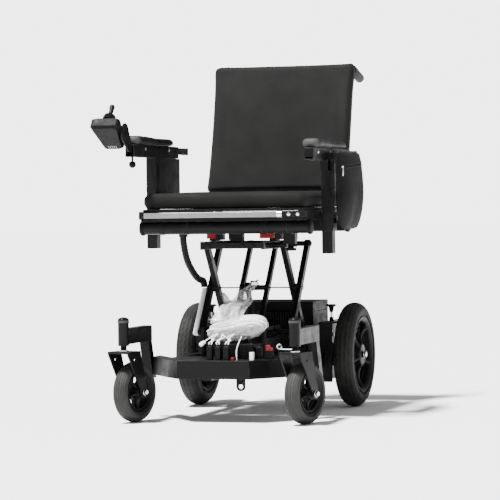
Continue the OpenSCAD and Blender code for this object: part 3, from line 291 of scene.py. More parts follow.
FINISHES = {
    "frame_black": FRAME, "zinc": ZINC, "silver": SILVER, "casting": CASTING,
    "plastic_black": BLACK, "plastic_pale": PALE, "harness": FILM, "battery": GREY,
    "red": RED, "upholstery": SEAT, "pad": PAD, "tyre_black": TYRE, "tyre_grey": TREAD,
    "board": BOARD,
}
OWN = {
    "drive_rim_left": RIM, "drive_rim_right": RIM, "caster_rim_left": RIM,
    "caster_rim_right": RIM, "hand_grips": GRIP, "joystick": SOFT,
    "caster_fork_left": FORK, "caster_fork_right": FORK, "neck_arms": FORK,
    "pod_button": GREY, "lift_shafts": FRAME, "tie_down_eye": FRAME, "actuator_rod": CASTING,
    "actuator_tube": CASTING,
}
for part in frame["record"]["subparts"]:
    name = part["node"]
    finish = OWN.get(name, FINISHES[part["material_slot"]])
    node = nodes[name]
    node.data.materials.clear()
    node.data.materials.append(finish.material)


# ------------------------------------------------------------------ shapes

def frame_of(direction):
    """Two directions square to the given one."""
    z = Vector(direction).normalized()
    x = z.orthogonal().normalized()
    return x, z.cross(x), z


def ring_faces(n, sides, closed=False):
    """Faces that join n rings of points in turn, with flat ends unless closed."""
    faces = [
        (i * sides + k, i * sides + (k + 1) % sides,
         (i + 1) % n * sides + (k + 1) % sides, (i + 1) % n * sides + k)
        for i in range(n if closed else n - 1) for k in range(sides)
    ]
    if not closed:
        faces += [tuple(range(sides))[::-1], tuple(range((n - 1) * sides, n * sides))]
    return faces


def loop(centre, across, up_way, radius, count):
    """Points of a circle; across and up_way are its two directions."""
    angles = [2 * math.pi * i / count for i in range(count)]
    return [centre + radius * (math.cos(a) * across + math.sin(a) * up_way) for a in angles]


class Shape:
    """Vertices and faces of one piece, gathered from simple parts."""

    def __init__(self):
        self.verts, self.faces = [], []

    def add(self, verts, faces):
        base = len(self.verts)
        self.verts += [tuple(v) for v in verts]
        self.faces += [tuple(i + base for i in f) for f in faces]
        return self

    def tube(self, points, radius, sides=8, closed=False, flat=1.0):
        """A tube along points; radius may be one value or one for each point."""
        points = [Vector(p) for p in points]
        n = len(points)
        radii = radius if isinstance(radius, (list, tuple)) else [radius] * n
        side = None
        verts = []
        for i, p in enumerate(points):
            a = points[(i - 1) % n] if closed or i > 0 else p
            b = points[(i + 1) % n] if closed or i < n - 1 else p
            t = (b - a).normalized()
            side = t.orthogonal() if side is None else side - t * side.dot(t)
            side = side.normalized()
            other = t.cross(side)
            for k in range(sides):
                w = 2 * math.pi * k / sides
                verts.append(p + radii[i] * (math.cos(w) * side + flat * math.sin(w) * other))
        return self.add(verts, ring_faces(n, sides, closed))

    def revolve(self, profile, centre, axis, sides=40):
        """Turns (radius, distance along the axis) pairs about an axis."""
        x, y, z = frame_of(axis)
        centre = Vector(centre)
        n = len(profile)
        verts = []
        for k in range(sides):
            w = 2 * math.pi * k / sides
            out = math.cos(w) * x + math.sin(w) * y
            verts += [centre + r * out + a * z for r, a in profile]
        ring = profile[0] == profile[-1]
        faces = [
            (k * n + i, (k + 1) % sides * n + i, (k + 1) % sides * n + i + 1, k * n + i + 1)
            for k in range(sides) for i in range(n - 1)
        ]
        self.add(verts, faces)
        if not ring:
            base = len(self.verts) - sides * n
            self.faces.append(tuple(base + k * n for k in range(sides)))
            self.faces.append(tuple(base + k * n + n - 1 for k in range(sides))[::-1])
        return self

    def block(self, low, high):
        x0, y0, z0 = low
        x1, y1, z1 = high
        verts = [(x, y, z) for z in (z0, z1) for y in (y0, y1) for x in (x0, x1)]
        return self.add(verts, [
            (0, 2, 3, 1), (4, 5, 7, 6), (0, 1, 5, 4), (2, 6, 7, 3), (0, 4, 6, 2), (1, 3, 7, 5)
        ])

    def moved(self, matrix):
        self.verts = [tuple(matrix @ Vector(v)) for v in self.verts]
        return self

    def build(self, name, finish, body=None, slot=None, smooth=True, bevel=0.0):
        mesh = bpy.data.meshes.new(name)
        mesh.from_pydata(self.verts, [], self.faces)
        mesh.update()
        bm = bmesh.new()
        bm.from_mesh(mesh)
        bmesh.ops.remove_doubles(bm, verts=bm.verts, dist=1e-6)
        bmesh.ops.recalc_face_normals(bm, faces=bm.faces)
        bm.to_mesh(mesh)
        bm.free()
        piece = bpy.data.objects.new(name, mesh)
        scene.collection.objects.link(piece)
        mesh.materials.append(finish.material)
        for face in mesh.polygons:
            face.use_smooth = smooth
        if smooth:
            mesh.set_sharp_from_angle(angle=math.radians(42))
        if bevel:
            soften(piece, bevel)
        if body:
            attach(piece, body)
        return piece


def soften(piece, width):
    weld = piece.modifiers.new("weld", "WELD")
    weld.merge_threshold = 1e-5
    edge = piece.modifiers.new("edge", "BEVEL")
    edge.width = width
    edge.segments = 2
    edge.limit_method = "ANGLE"
    edge.angle_limit = math.radians(50)
    edge.use_clamp_overlap = True
    edge.harden_normals = True


def hexagon(shape, centre, axis, across, height):
    shape.revolve([(across / 2, 0), (across / 2, height * 0.8), (across / 2 * 0.88, height)],
        centre, axis, 6)


# ------------------------------------------------------------------ hard parts

# Every sharp CAD part gets a small rounded edge, so that edges catch the light.
EDGES = {
    0.0016: ("chassis_rails", "front_beam", "neck_arms", "motor_brackets", "seat_frame",
             "seat_rails", "arm_frame_left", "arm_frame_right", "lift_platform",
             "caster_fork_left", "caster_fork_right", "lift_brackets"),
    0.0022: ("lift_arms_a", "lift_arms_b", "battery_case", "battery_lid", "junction_box",
             "latch_lever_left", "latch_lever_right"),
    0.0009: ("seat_front_bar", "side_panel_left", "side_panel_right", "power_module",
             "pod_mount", "conduit_sleeve", "tie_down_eye", "platform_knob",
             "freewheel_knob_left", "freewheel_knob_right", "arm_knob_left",
             "arm_knob_right", "drive_rim_left", "drive_rim_right", "caster_rim_left",
             "caster_rim_right", "pod_button", "hand_grips"),
}
for width, names in EDGES.items():
    for name in names:
        soften(nodes[name], width)


def coords(mesh):
    co = np.empty(len(mesh.vertices) * 3)
    mesh.vertices.foreach_get("co", co)
    return co.reshape(-1, 3)


def smoothstep(x):
    x = min(1.0, max(0.0, x))
    return x * x * (3 - 2 * x)


def tyre(wheel, side, outer, width, shoulder, bead, finish, slot, rows, cut, zigzag, turns):
    """A tyre with its tread cut into a round crown."""
    joint = joints["caster_spin_" + side if wheel == "caster" else "wheel_" + side]
    centre, axle = Vector(joint["pos_m"]), Vector(joint["axis"])
    x, y, z = frame_of(axle)
    verts, faces = [], []
    steps = 56
    wall = [(bead, -0.36), (bead + 0.006, -0.40), (bead + 0.011, -0.43),
            (bead + 0.013, -0.455), ((bead + outer - shoulder) / 2, -0.492),
            (outer - shoulder * 1.25, -0.4995)]
    count = 2 * len(wall) + steps + 1
    for k in range(turns):
        w = 2 * math.pi * k / turns
        out = math.cos(w) * x + math.sin(w) * y
        ring = list(wall)
        swing = zigzag * (1 if (k // 2) % 2 else -1)
        for i in range(steps + 1):
            t = -90 + 180 * i / steps
            depth = 0.0
            for row in rows:
                depth = max(depth, smoothstep(1.8 - abs(t - row - swing) / 2.0))
            if zigzag and 50 < abs(t) < 72 and (k // 2) % 3 == 0:
                depth = max(depth, 0.7 * smoothstep((11 - abs(abs(t) - 61)) / 3))
            t = math.radians(t)
            ring.append((
                outer - shoulder + shoulder * math.cos(t) - cut * depth, 0.5 * math.sin(t)
            ))
        ring += [(r, -a) for r, a in reversed(wall)]
        verts += [centre + out * r + z * (a * width) for r, a in ring]
    for k in range(turns):
        n = (k + 1) % turns
        for i in range(count):
            j = (i + 1) % count
            faces.append((k * count + i, n * count + i, n * count + j, k * count + j))
    shape = Shape().add(verts, faces)
    body = ("caster_wheel_" if wheel == "caster" else "drive_wheel_") + side
    piece = shape.build(f"{wheel}_tyre_tread_{side}", finish, body, slot)
    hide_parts(f"{wheel}_tyre_{side}")
    return centre, axle


ARM_X, POST_Y = 0.272, -0.148
for side, sign in (("left", -1), ("right", 1)):
    # drive wheel: tyre, rim lip, ribs on the spokes, valve and the hub with its bolt
    centre, axle = tyre("drive", side, 0.160, 0.061, 0.026, 0.113, TYRE, "tyre_black",
                        (-40, -14, 14, 40), 0.0024, 3.0, 192)
    out = Vector((sign, 0, 0))
    rim = Shape()
    for flip in (1, -1):
        rim.revolve([(0.104, 0.0205), (0.1125, 0.0225), (0.1158, 0.0262), (0.1150, 0.0288),
                     (0.1125, 0.0284), (0.1090, 0.0262), (0.1045, 0.0226), (0.1035, 0.0210),
                     (0.104, 0.0205)], centre, out * flip, 96)
    start = Vector((0, 0, 1))
    for k in range(5):
        spin = Matrix.Rotation(2 * math.pi * (k + 0.5) / 5, 3, out)
        way = spin @ start
        for flip in (1, -1):
            points = [centre + way * r + out * flip * a for r, a in (
                (0.028, 0.0185), (0.040, 0.0125), (0.055, 0.0075), (0.072, 0.0070),
                (0.088, 0.0110), (0.102, 0.0190))]
            rim.tube(points, [0.0085, 0.0075, 0.0068, 0.0068, 0.0078, 0.0095], 10)
    rim.revolve([(0.020, 0.0255), (0.030, 0.0265), (0.0335, 0.0240), (0.0345, 0.0180),
                 (0.038, 0.0090), (0.038, 0.004)], centre, out, 48)
    rim.build(f"drive_rim_ribs_{side}", RIM, f"drive_wheel_{side}", "plastic_black")
    hub = Shape()
    hub.revolve([(0.0128, 0.0304), (0.0128, 0.0322), (0.0118, 0.0330)], centre, out, 32)
    hexagon(hub, centre + out * 0.0330, out, 0.017, 0.0045)
    hub.build(f"drive_bolt_{side}", BRIGHT, f"drive_wheel_{side}", "zinc", bevel=0.0005)
    valve = Shape()
    way = Matrix.Rotation(0.3, 3, out) @ start
    valve.tube([centre + way * 0.104 + out * 0.012, centre + way * 0.092 + out * 0.024],
               0.0035, 10)
    valve.build(f"valve_{side}", SOFT, f"drive_wheel_{side}", "plastic_black")

    # caster: ribbed tyre, rim lip and the bolt at both ends of the axle
    centre, axle = tyre("caster", side, 0.088, 0.044, 0.014, 0.058, TREAD, "tyre_grey",
                        (-52, -32, -11, 11, 32, 52), 0.0013, 0.0, 144)
    lip = Shape()
    for flip in (1, -1):
        lip.revolve([(0.052, 0.0140), (0.0585, 0.0160), (0.0615, 0.0186), (0.0606, 0.0208),
                     (0.0585, 0.0203), (0.0545, 0.0182), (0.0515, 0.0150), (0.052, 0.0140)],
                    centre, axle * flip, 72)
        for k in range(5):
            way = Matrix.Rotation(2 * math.pi * (k + 0.5) / 5, 3, axle) @ start
            points = [centre + way * r + axle * flip * a for r, a in (
                (0.017, 0.0135), (0.027, 0.0080), (0.038, 0.0062), (0.051, 0.0125))]
            lip.tube(points, [0.0048, 0.0042, 0.0042, 0.0055], 8)
    lip.build(f"caster_rim_ribs_{side}", RIM, f"caster_wheel_{side}", "plastic_black")
    bolt = Shape()
    for flip in (1, -1):
        face = centre + axle * flip * 0.0362
        bolt.revolve([(0.0100, 0.0), (0.0100, 0.0016), (0.0092, 0.0021)], face, axle * flip, 28)
        hexagon(bolt, face + axle * flip * 0.0018, axle * flip, 0.0152, 0.0062)
    bolt.build(f"caster_bolt_{side}", BRIGHT, f"caster_fork_{side}", "zinc", bevel=0.0005)

    # stem: shiny domed cap, collar and the bright spacer over the fork
    stem = pivot(f"caster_swivel_{side}")
    dome = [(0.0168 * math.cos(a), 0.2955 + 0.0102 * math.sin(a) - stem.z)
            for a in [math.pi / 2 * i / 10 for i in range(11)]]
    cap = Shape().revolve([(0.0172, 0.2905 - stem.z), (0.0172, 0.2950 - stem.z)] + dome[:-1]
                          + [(0.0004, 0.3058 - stem.z)], stem, (0, 0, 1), 36)
    cap.build(f"stem_cap_{side}", CAP, "base", "frame_black")
    ring = Shape()
    ring.revolve([(0.0098, 0.2082 - stem.z), (0.0135, 0.2082 - stem.z), (0.0135, 0.2112 - stem.z),
                  (0.0098, 0.2112 - stem.z), (0.0098, 0.2082 - stem.z)], stem, (0, 0, 1), 28)
    ring.build(f"stem_washer_{side}", BRIGHT, f"caster_fork_{side}", "zinc")

    # freewheel knob: the bright rod that shows between the boss and the knob
    low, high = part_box(f"freewheel_knob_{side}")
    rod = Shape()
    middle = (low + high) / 2
    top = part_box("motor_brackets")[1].z
    rod.revolve([(0.0031, 0), (0.0033, 0.001), (0.0033, 0.014), (0.0031, 0.015)],
                Vector((middle.x, middle.y, top + 0.0125)), (0, 0, 1), 16)
    rod.build(f"freewheel_rod_{side}", BRIGHT, f"freewheel_{side}", "zinc")
    bolts = Shape()
    for dy, dz in ((-0.04, -0.03), (0.055, -0.03), (0.05, 0.06)):
        hexagon(bolts, Vector((sign * 0.1781, 0.175 + dy, 0.160 + dz)), out, 0.013, 0.0055)
    bolts.build(f"bracket_bolts_{side}", ZINC, "base", "zinc", bevel=0.0004)

    # armrest: screws in the channel, collar in the tail tube and plug under the post
    arm_low, arm_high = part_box(f"arm_frame_{side}")
    pad_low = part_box(f"arm_pad_{side}")[0]
    screws = Shape()
    for y in (-0.30, -0.17, -0.09, 0.03):
        screws.revolve([(0.0048, 0), (0.0048, 0.0010), (0.0030, 0.0024)],
                       Vector((sign * 0.286, y, pad_low.z - 0.012)), out, 16)
    for y in (-0.258, -0.045):
        screws.revolve([(0.0052, 0), (0.0052, 0.0012), (0.0030, 0.0026)],
                       Vector((sign * 0.2560, y, pad_low.z - 0.012)), -out, 16)
    screws.build(f"arm_screws_{side}", ZINC, f"armrest_{side}", "zinc")
    foot = Shape()
    at = Vector((sign * ARM_X, POST_Y, arm_low.z))
    foot.block(at + mm(-12.5, -12.5, 0.6), at + mm(12.5, 12.5, 10))
    foot.build(f"post_plug_{side}", BLACK, f"armrest_{side}", "plastic_black", bevel=0.002)
    tail = Shape()
    end = Vector((sign * ARM_X, arm_high.y, pad_low.z - 0.013))
    for dx, dz in ((-1, 0), (1, 0), (0, -1), (0, 1)):
        across = Vector((dx, 0, dz)) * 0.0093
        size = Vector((0.0012 if dx else 0.0105, 0.004, 0.0012 if dz else 0.0105))
        c = end + across + Vector((0, -0.0032, 0))
        tail.block(c - size, c + size)
    tail.build(f"tail_collar_{side}", BLACK, f"armrest_{side}", "plastic_black", bevel=0.0006)

# lift: a cap on each pivot's end and a nut on each end of the tie rod
caps = Shape()
lift, cross, top = pivot("lift"), pivot("scissor_pivot"), pivot("platform_pivot")
for sign in (-1, 1):
    out = Vector((sign, 0, 0))
    for spot in (top, Vector((0, -0.1058, lift.z))):
        caps.revolve([(0.0088, 0), (0.0088, 0.0016), (0.0055, 0.0042), (0.0006, 0.0050)],
                     Vector((sign * 0.1482, spot.y, spot.z)), out, 20)
caps.build("lift_caps", FRAME, "arms_b", "frame_black")
nuts = Shape()
for sign in (-1, 1):
    out = Vector((sign, 0, 0))
    hexagon(nuts, Vector((sign * 0.1486, cross.y, cross.z)), out, 0.011, 0.005)
nuts.build("tie_rod_nuts", ZINC, "arms_b", "zinc", bevel=0.0003)

# front bar: bright sleeve and two screws at the right, slanted dark end at the left
bar_low, bar_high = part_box("seat_front_bar")
bar_z = (bar_low.z + bar_high.z) / 2
sleeve = Shape()
BAR_Y = -0.326
sleeve.tube([(bar_high.x - 0.012, BAR_Y, bar_z), (bar_high.x + 0.004, BAR_Y, bar_z)], 0.0105, 24)
sleeve.build("bar_sleeve", BRIGHT, "seat", "silver", bevel=0.001)
screw = Shape()
for x in (0.205, 0.232):
    screw.revolve([(0.0052, 0), (0.0050, 0.0012), (0.0024, 0.0020)],
                  Vector((x, -0.3342, bar_z)), (0, -1, 0), 20)
screw.build("bar_screws", BRIGHT, "seat", "zinc")
slant = Shape()
z0, z1 = bar_low.z - 0.004, bar_high.z + 0.004
slant.add([(-0.2525, -0.335, z0), (-0.238, -0.335, z0 + 0.010), (-0.236, -0.335, z1),
           (-0.2525, -0.335, z1), (-0.2525, -0.316, z0), (-0.238, -0.316, z0 + 0.010),
           (-0.236, -0.316, z1), (-0.2525, -0.316, z1)],
          [(0, 1, 2, 3), (7, 6, 5, 4), (0, 4, 5, 1), (1, 5, 6, 2), (2, 6, 7, 3), (3, 7, 4, 0)])
slant.build("bar_end", FRAME, "seat", "frame_black", bevel=0.001)

# dark flange behind the bar, and a plug in the right channel's open end
flange = Shape().block((-0.245, -0.3160, 0.5785), (0.255, -0.3130, 0.6065))
flange.build("seat_flange", FRAME, "seat", "frame_black", bevel=0.0008)
channel_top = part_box("arm_frame_right")[1].z
plug = Shape().block((0.2585, -0.3508, channel_top - 0.0270),
                     (0.2855, -0.3440, channel_top - 0.0015))
plug.build("channel_plug", BLACK, "armrest_right", "plastic_black", bevel=0.0018)

# end knobs of both cross tubes, and clamps on the front one
FRONT_TUBE_Y, REAR_TUBE_Y = -0.288, 0.130
tube_low, tube_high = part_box("seat_cross_tubes")
knobs = Shape()
cross_z = (tube_low.z + tube_high.z) / 2
for y in (FRONT_TUBE_Y, REAR_TUBE_Y):
    for sign in (-1, 1):
        knobs.revolve([(0.0205, 0), (0.0222, 0.002), (0.0222, 0.0085), (0.0195, 0.0115),
                       (0.0100, 0.0128), (0.0004, 0.0130)],
                      Vector((sign * 0.2502, y, cross_z)), (sign, 0, 0), 32)
knobs.build("tube_end_knobs", BLACK, "seat", "plastic_black")
bands = Shape()
for x in (-0.196, -0.120, 0.120, 0.196):
    bands.revolve([(0.0188, -0.008), (0.0206, -0.0065), (0.0206, 0.0065), (0.0188, 0.008),
                   (0.0188, -0.008)], Vector((x, FRONT_TUBE_Y, cross_z)), (1, 0, 0), 36)
bands.build("tube_clamps", FRAME, "seat", "frame_black", bevel=0.0006)

# latch blocks beside the red levers and dark bolts on the platform
latch = pivot("latch_right")
block = Shape()
for x in (-0.073, 0.110):
    block.block((x, -0.162, latch.z - 0.011), (x + 0.020, -0.128, latch.z + 0.013))
block.build("latch_blocks", GREY, "seat", "plastic_black", bevel=0.0018)
plat_low, plat_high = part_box("lift_platform")
bolts = Shape()
for x in (-0.072, -0.02, 0.034, 0.066):
    hexagon(bolts, Vector((x, plat_low.y - 0.0001, (plat_low.z + plat_high.z) / 2)),
            (0, -1, 0), 0.0095, 0.004)
bolts.build("platform_bolts", CASTING, "seat", "casting", bevel=0.0004)

# ------------------------------------------------------------------ soft goods

def put(mesh, co):
    mesh.vertices.foreach_set("co", np.asarray(co, float).ravel())
    mesh.update()


def apply(piece, modifier):
    """Bakes one modifier into the mesh."""
    for other in piece.modifiers:
        other.show_viewport = other == modifier
    graph = bpy.context.evaluated_depsgraph_get()
    mesh = bpy.data.meshes.new_from_object(piece.evaluated_get(graph))
    piece.modifiers.remove(modifier)
    old = piece.data
    mesh.name = piece.name
    piece.data = mesh
    bpy.data.meshes.remove(old)


def padded_block(name, size, plan_r, edge_r, finish):
    """A block with rounded corners in plan and along its edges, centred on the origin."""
    bm = bmesh.new()
    bmesh.ops.create_cube(bm, size=1)
    bmesh.ops.scale(bm, vec=size, verts=bm.verts)
    posts = [e for e in bm.edges if abs(e.verts[0].co.z - e.verts[1].co.z) > 1e-6]
    bmesh.ops.bevel(bm, geom=posts, offset=plan_r, segments=8, profile=0.5, affect="EDGES")
    rims = [e for e in bm.edges if abs(e.verts[0].co.z - e.verts[1].co.z) < 1e-6
            and len(e.link_faces) == 2
            and abs(e.link_faces[0].normal.z - e.link_faces[1].normal.z) > 0.5]
    bmesh.ops.bevel(bm, geom=rims, offset=edge_r, segments=5, profile=0.5, affect="EDGES")
    mesh = bpy.data.meshes.new(name)
    bm.to_mesh(mesh)
    bm.free()
    piece = bpy.data.objects.new(name, mesh)
    scene.collection.objects.link(piece)
    mesh.materials.append(finish.material)
    return piece


def inflate(piece, voxel, pressure, cap, frames=20):
    """Remeshes a closed form evenly and swells it as cloth under pressure."""
    remesh = piece.modifiers.new("remesh", "REMESH")
    remesh.mode = "VOXEL"
    remesh.voxel_size = voxel
    apply(piece, remesh)
    rest = coords(piece.data)
    cloth_mod = piece.modifiers.new("cloth", "CLOTH")
    s = cloth_mod.settings
    s.quality = 5
    s.mass = 0.3
    s.tension_stiffness = s.compression_stiffness = 25
    s.bending_stiffness = 2.0
    s.use_pressure = True
    s.uniform_pressure_force = pressure
    s.effector_weights.gravity = 0
    cloth_mod.point_cache.frame_start = 1
    cloth_mod.point_cache.frame_end = frames
    scene.frame_start, scene.frame_end = 1, frames
    for f in range(1, frames + 1):
        scene.frame_set(f)
    graph = bpy.context.evaluated_depsgraph_get()
    swollen = coords(piece.evaluated_get(graph).data)
    piece.modifiers.remove(cloth_mod)
    scene.frame_set(1)
    step = swollen - rest
    length = np.linalg.norm(step, axis=1, keepdims=True)
    put(piece.data, rest + step * np.minimum(1, cap / np.maximum(length, 1e-9)))


def finish_soft(piece, level=1, relax=3):
    smooth = piece.modifiers.new("relax", "SMOOTH")
    smooth.factor = 0.5
    smooth.iterations = relax
    apply(piece, smooth)
    fine = piece.modifiers.new("fine", "SUBSURF")
    fine.levels = fine.render_levels = level
    apply(piece, fine)
    for face in piece.data.polygons:
        face.use_smooth = True


def fill(piece, half):
    """Stretches a form in plan until it reaches its own box again."""
    co = coords(piece.data)
    for axis in (0, 1):
        reach = max(abs(co[:, axis].min()), abs(co[:, axis].max()))
        co[:, axis] *= half[axis] / reach
    put(piece.data, co)


def keep_in(co, half):
    """Holds points inside their box in plan."""
    for axis in (0, 1):
        co[:, axis] = np.clip(co[:, axis], -half[axis], half[axis])


def crown_of(co, half):
    """One at the middle of a block, falling to zero at its edges in plan."""
    inside = np.clip(1 - (np.abs(co[:, :2]) / half[:2]) ** 2, 0, 1)
    return np.sqrt(inside[:, 0] * inside[:, 1])


def waist(co, half, much):
    """Draws the sides in between the front and rear corners."""
    co[:, 0] *= 1 - much * np.cos(np.clip(co[:, 1] / half[1], -1, 1) * math.pi / 2)


def tree_of(piece):
    """The piece's surface, for rays."""
    return BVHTree.FromPolygons([v.co for v in piece.data.vertices],
                                [p.vertices for p in piece.data.polygons])


def rounded_outline(half_x, half_y, r, step=0.006):
    """Points round a rectangle with round corners, and their outward directions."""
    points = []
    for cx, cy, a0 in ((1, 1, 0), (-1, 1, 90), (-1, -1, 180), (1, -1, 270)):
        for i in range(9):
            a = math.radians(a0 + 90 * i / 8)
            points.append((Vector((cx * (half_x - r) + r * math.cos(a),
                                   cy * (half_y - r) + r * math.sin(a), 0)),
                           Vector((math.cos(a), math.sin(a), 0))))
    dense = []
    for (p, d), (q, g) in zip(points, points[1:] + points[:1]):
        n = max(1, int((q - p).length / step))
        dense += [(p.lerp(q, i / n), d.lerp(g, i / n).normalized()) for i in range(n)]
    return dense


def seam_round(piece, outline, z, radius, name, matrix, sink=0.0):
    """Piping laid on the surface, where a ray from outside meets it at height z."""
    tree = tree_of(piece)
    path = []
    for p, d in outline:
        hit = tree.ray_cast(Vector((p.x, p.y, z)) + d * 0.08, -d)[0]
        if hit is not None:
            path.append(hit - d * sink)
    shape = Shape().tube(path, radius, 8, closed=True)
    shape.moved(matrix)
    return shape.build(name, TRIM)


def stitches(path, pitch, length, radius, shape):
    """Short threads at even steps along a path."""
    total = 0.0
    goal = pitch
    for p, q in zip(path, path[1:]):
        span = (q - p).length
        while total + span >= goal:
            spot = p.lerp(q, (goal - total) / max(span, 1e-9))
            way = (q - p).normalized() * length / 2
            shape.tube([spot - way, spot, spot + way], [radius * 0.6, radius, radius * 0.6], 5)
            goal += pitch
        total += span


SEAT_SEAM_Z = -0.0165

# seat cushion: a crowned foam block with round front corners
low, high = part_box("seat_cushion")
size = high - low
middle = (low + high) / 2
cushion = padded_block("seat_cushion_cover", (size.x - 0.010, size.y - 0.010, size.z - 0.002),
                       0.028, 0.019, SEAT)
inflate(cushion, 0.0075, 3.2, 0.013)
co = coords(cushion.data)
half = np.array(size) / 2
crown = crown_of(co, half)
top = np.clip(co[:, 2] * 0.93, 0, half[2] * 0.93) + 0.007 * crown
co[:, 2] = np.where(co[:, 2] > 0, top, co[:, 2])
co[:, 2] = np.clip(co[:, 2], -half[2] + 0.0008, half[2] + 0.004)
waist(co, half, 0.010)
keep_in(co, half)
for i, v in enumerate(co):
    v[2] += 0.0011 * noise.noise(Vector(v) * 9) * crown[i]
put(cushion.data, co)
finish_soft(cushion)
fill(cushion, half - 0.0006)
place_seat = Matrix.Translation(middle)
outline = rounded_outline(half[0], half[1], 0.028)
seam = seam_round(cushion, outline, SEAT_SEAM_Z, 0.0016, "seat_seam_low", place_seat, 0.0004)
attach(seam, "seat")
cushion.data.transform(place_seat)
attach(cushion, "seat")
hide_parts("seat_cushion")

# back cushion: laid out flat about its own middle, then turned to the recline
hinge = pivot("backrest_recline")
lean = Matrix.Rotation(-RECLINE, 4, "X")
box_low, box_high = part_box("back_cushion")
middle = (box_low + box_high) / 2
width = box_high.x - box_low.x
spread, tall = box_high.y - box_low.y, box_high.z - box_low.z
c, s = math.cos(RECLINE), math.sin(RECLINE)
height = (tall * c - spread * s) / (c * c - s * s)
thick = (spread * c - tall * s) / (c * c - s * s)
rest = padded_block("back_cushion_cover", (width - 0.008, height - 0.008, thick - 0.008),
                    0.014, 0.017, BACKREST)
inflate(rest, 0.0075, 3.0, 0.012)
co = coords(rest.data)
half = np.array((width, height, thick)) / 2
crown = crown_of(co, half)
front = co[:, 2] > 0
co[:, 2] = np.where(front, np.clip(co[:, 2], 0, half[2] - 0.006) + 0.006 * crown,
                    np.clip(co[:, 2], -half[2] + 0.002, 0))
waist(co, half, 0.008)
keep_in(co, half)
put(rest.data, co)
finish_soft(rest)
fill(rest, half - 0.0006)
# local X, Y, Z of the flat cushion are the chair's X, up the back, and forward
stand = Matrix(((1, 0, 0, 0), (0, 0, -1, 0), (0, 1, 0, 0), (0, 0, 0, 1)))
place_back = Matrix.Translation(middle) @ lean @ stand
outline = rounded_outline(half[0], half[1], 0.014)
for tag, z in (("front", 0.011), ("rear", -0.017)):
    seam = seam_round(rest, outline, z, 0.0017, "back_seam_" + tag, place_back, 0.0003)
    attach(seam, "backrest")
rest.data.transform(place_back)
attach(rest, "backrest")
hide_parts("back_cushion")

# straps across the rear of the back cushion, with a stitched box at each end
for k, v in enumerate((-0.13, 0.0, 0.13)):
    strap = Shape()
    strap.block((-0.190, v - 0.016, -0.0026), (0.190, v + 0.016, -0.0006))
    strap.moved(place_back @ Matrix.Translation((0, 0, -half[2] + 0.0012)))
    strap.build(f"back_strap_{k}", TRIM, "backrest", "upholstery", bevel=0.0006)
    thread = Shape()
    z = -half[2] - 0.0016
    for sign in (-1, 1):
        a, b = 0.150 * sign, 0.182 * sign
        corners = [Vector((a, v - 0.011, z)), Vector((b, v - 0.011, z)), Vector((b, v + 0.011, z)),
                   Vector((a, v + 0.011, z)), Vector((a, v - 0.011, z)), Vector((b, v + 0.011, z))]
        stitches(corners, 0.0045, 0.0030, 0.0005, thread)
    thread.moved(place_back)
    thread.build(f"back_strap_thread_{k}", THREAD, "backrest", "upholstery")

# arm pads: moulded foam, round at the front and cut back at the rear
for side, sign in (("left", -1), ("right", 1)):
    low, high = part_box(f"arm_pad_{side}")
    size, middle = high - low, (low + high) / 2
    pad = padded_block(f"arm_pad_skin_{side}", (size.x - 0.004, size.y - 0.006, size.z - 0.001),
                       0.021, 0.0088, PAD)
    inflate(pad, 0.0045, 2.5, 0.004)
    co = coords(pad.data)
    half = np.array(size) / 2
    co[:, 2] = np.clip(co[:, 2], -half[2] + 0.0003, half[2])
    keep_in(co, half)
    ahead = np.clip((co[:, 1] + half[1]) / (2 * half[1]), 0, 1)
    dip = 0.0022 * np.exp(-((ahead - 0.55) / 0.22) ** 2)
    slope = 0.006 * np.clip((ahead - 0.9) / 0.1, 0, 1) ** 1.5
    heel = 0.0035 * np.clip((0.06 - ahead) / 0.06, 0, 1)
    co[:, 2] -= np.where(co[:, 2] > 0, dip + slope + heel, 0)
    put(pad.data, co)
    finish_soft(pad, relax=2)
    fill(pad, half - 0.0006)
    co = coords(pad.data)
    share = (co[:, 2] - co[:, 2].min()) / (co[:, 2].max() - co[:, 2].min())
    rise = 0.0055 - 0.0060 * (co[:, 1] + half[1]) / (2 * half[1])
    co[:, 2] = -half[2] + 0.0003 + share * (2 * half[2] - 0.0003 + rise)
    put(pad.data, co)
    place_pad = Matrix.Translation(middle)
    line = seam_round(pad, rounded_outline(half[0], half[1], 0.021), -0.0075, 0.0009,
                      f"arm_pad_line_{side}", place_pad, 0.0003)
    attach(line, f"armrest_{side}")
    pad.data.transform(place_pad)
    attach(pad, f"armrest_{side}")
    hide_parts(f"arm_pad_{side}")

# side bag: a pouch that bulges at its bottom, with a zip across its top
low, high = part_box("side_bag")
bag_x0 = 0.3092
y0, y1 = -0.228, 0.051
z_top, z_low = high.z, low.z


def bag_outline(v):
    """Front and rear edge of the bag, v from 0 at its top to 1 at its bottom."""
    front_y = y0 + 0.004 + 0.010 * v
    rear_y = y1 - 0.004 - 0.004 * v
    if v > 0.62:
        w = (v - 0.62) / 0.38
        bend = 1 - math.sqrt(max(0.0, 1 - w * w))
        front_y += 0.075 * bend
        rear_y -= 0.055 * bend
    return front_y, rear_y


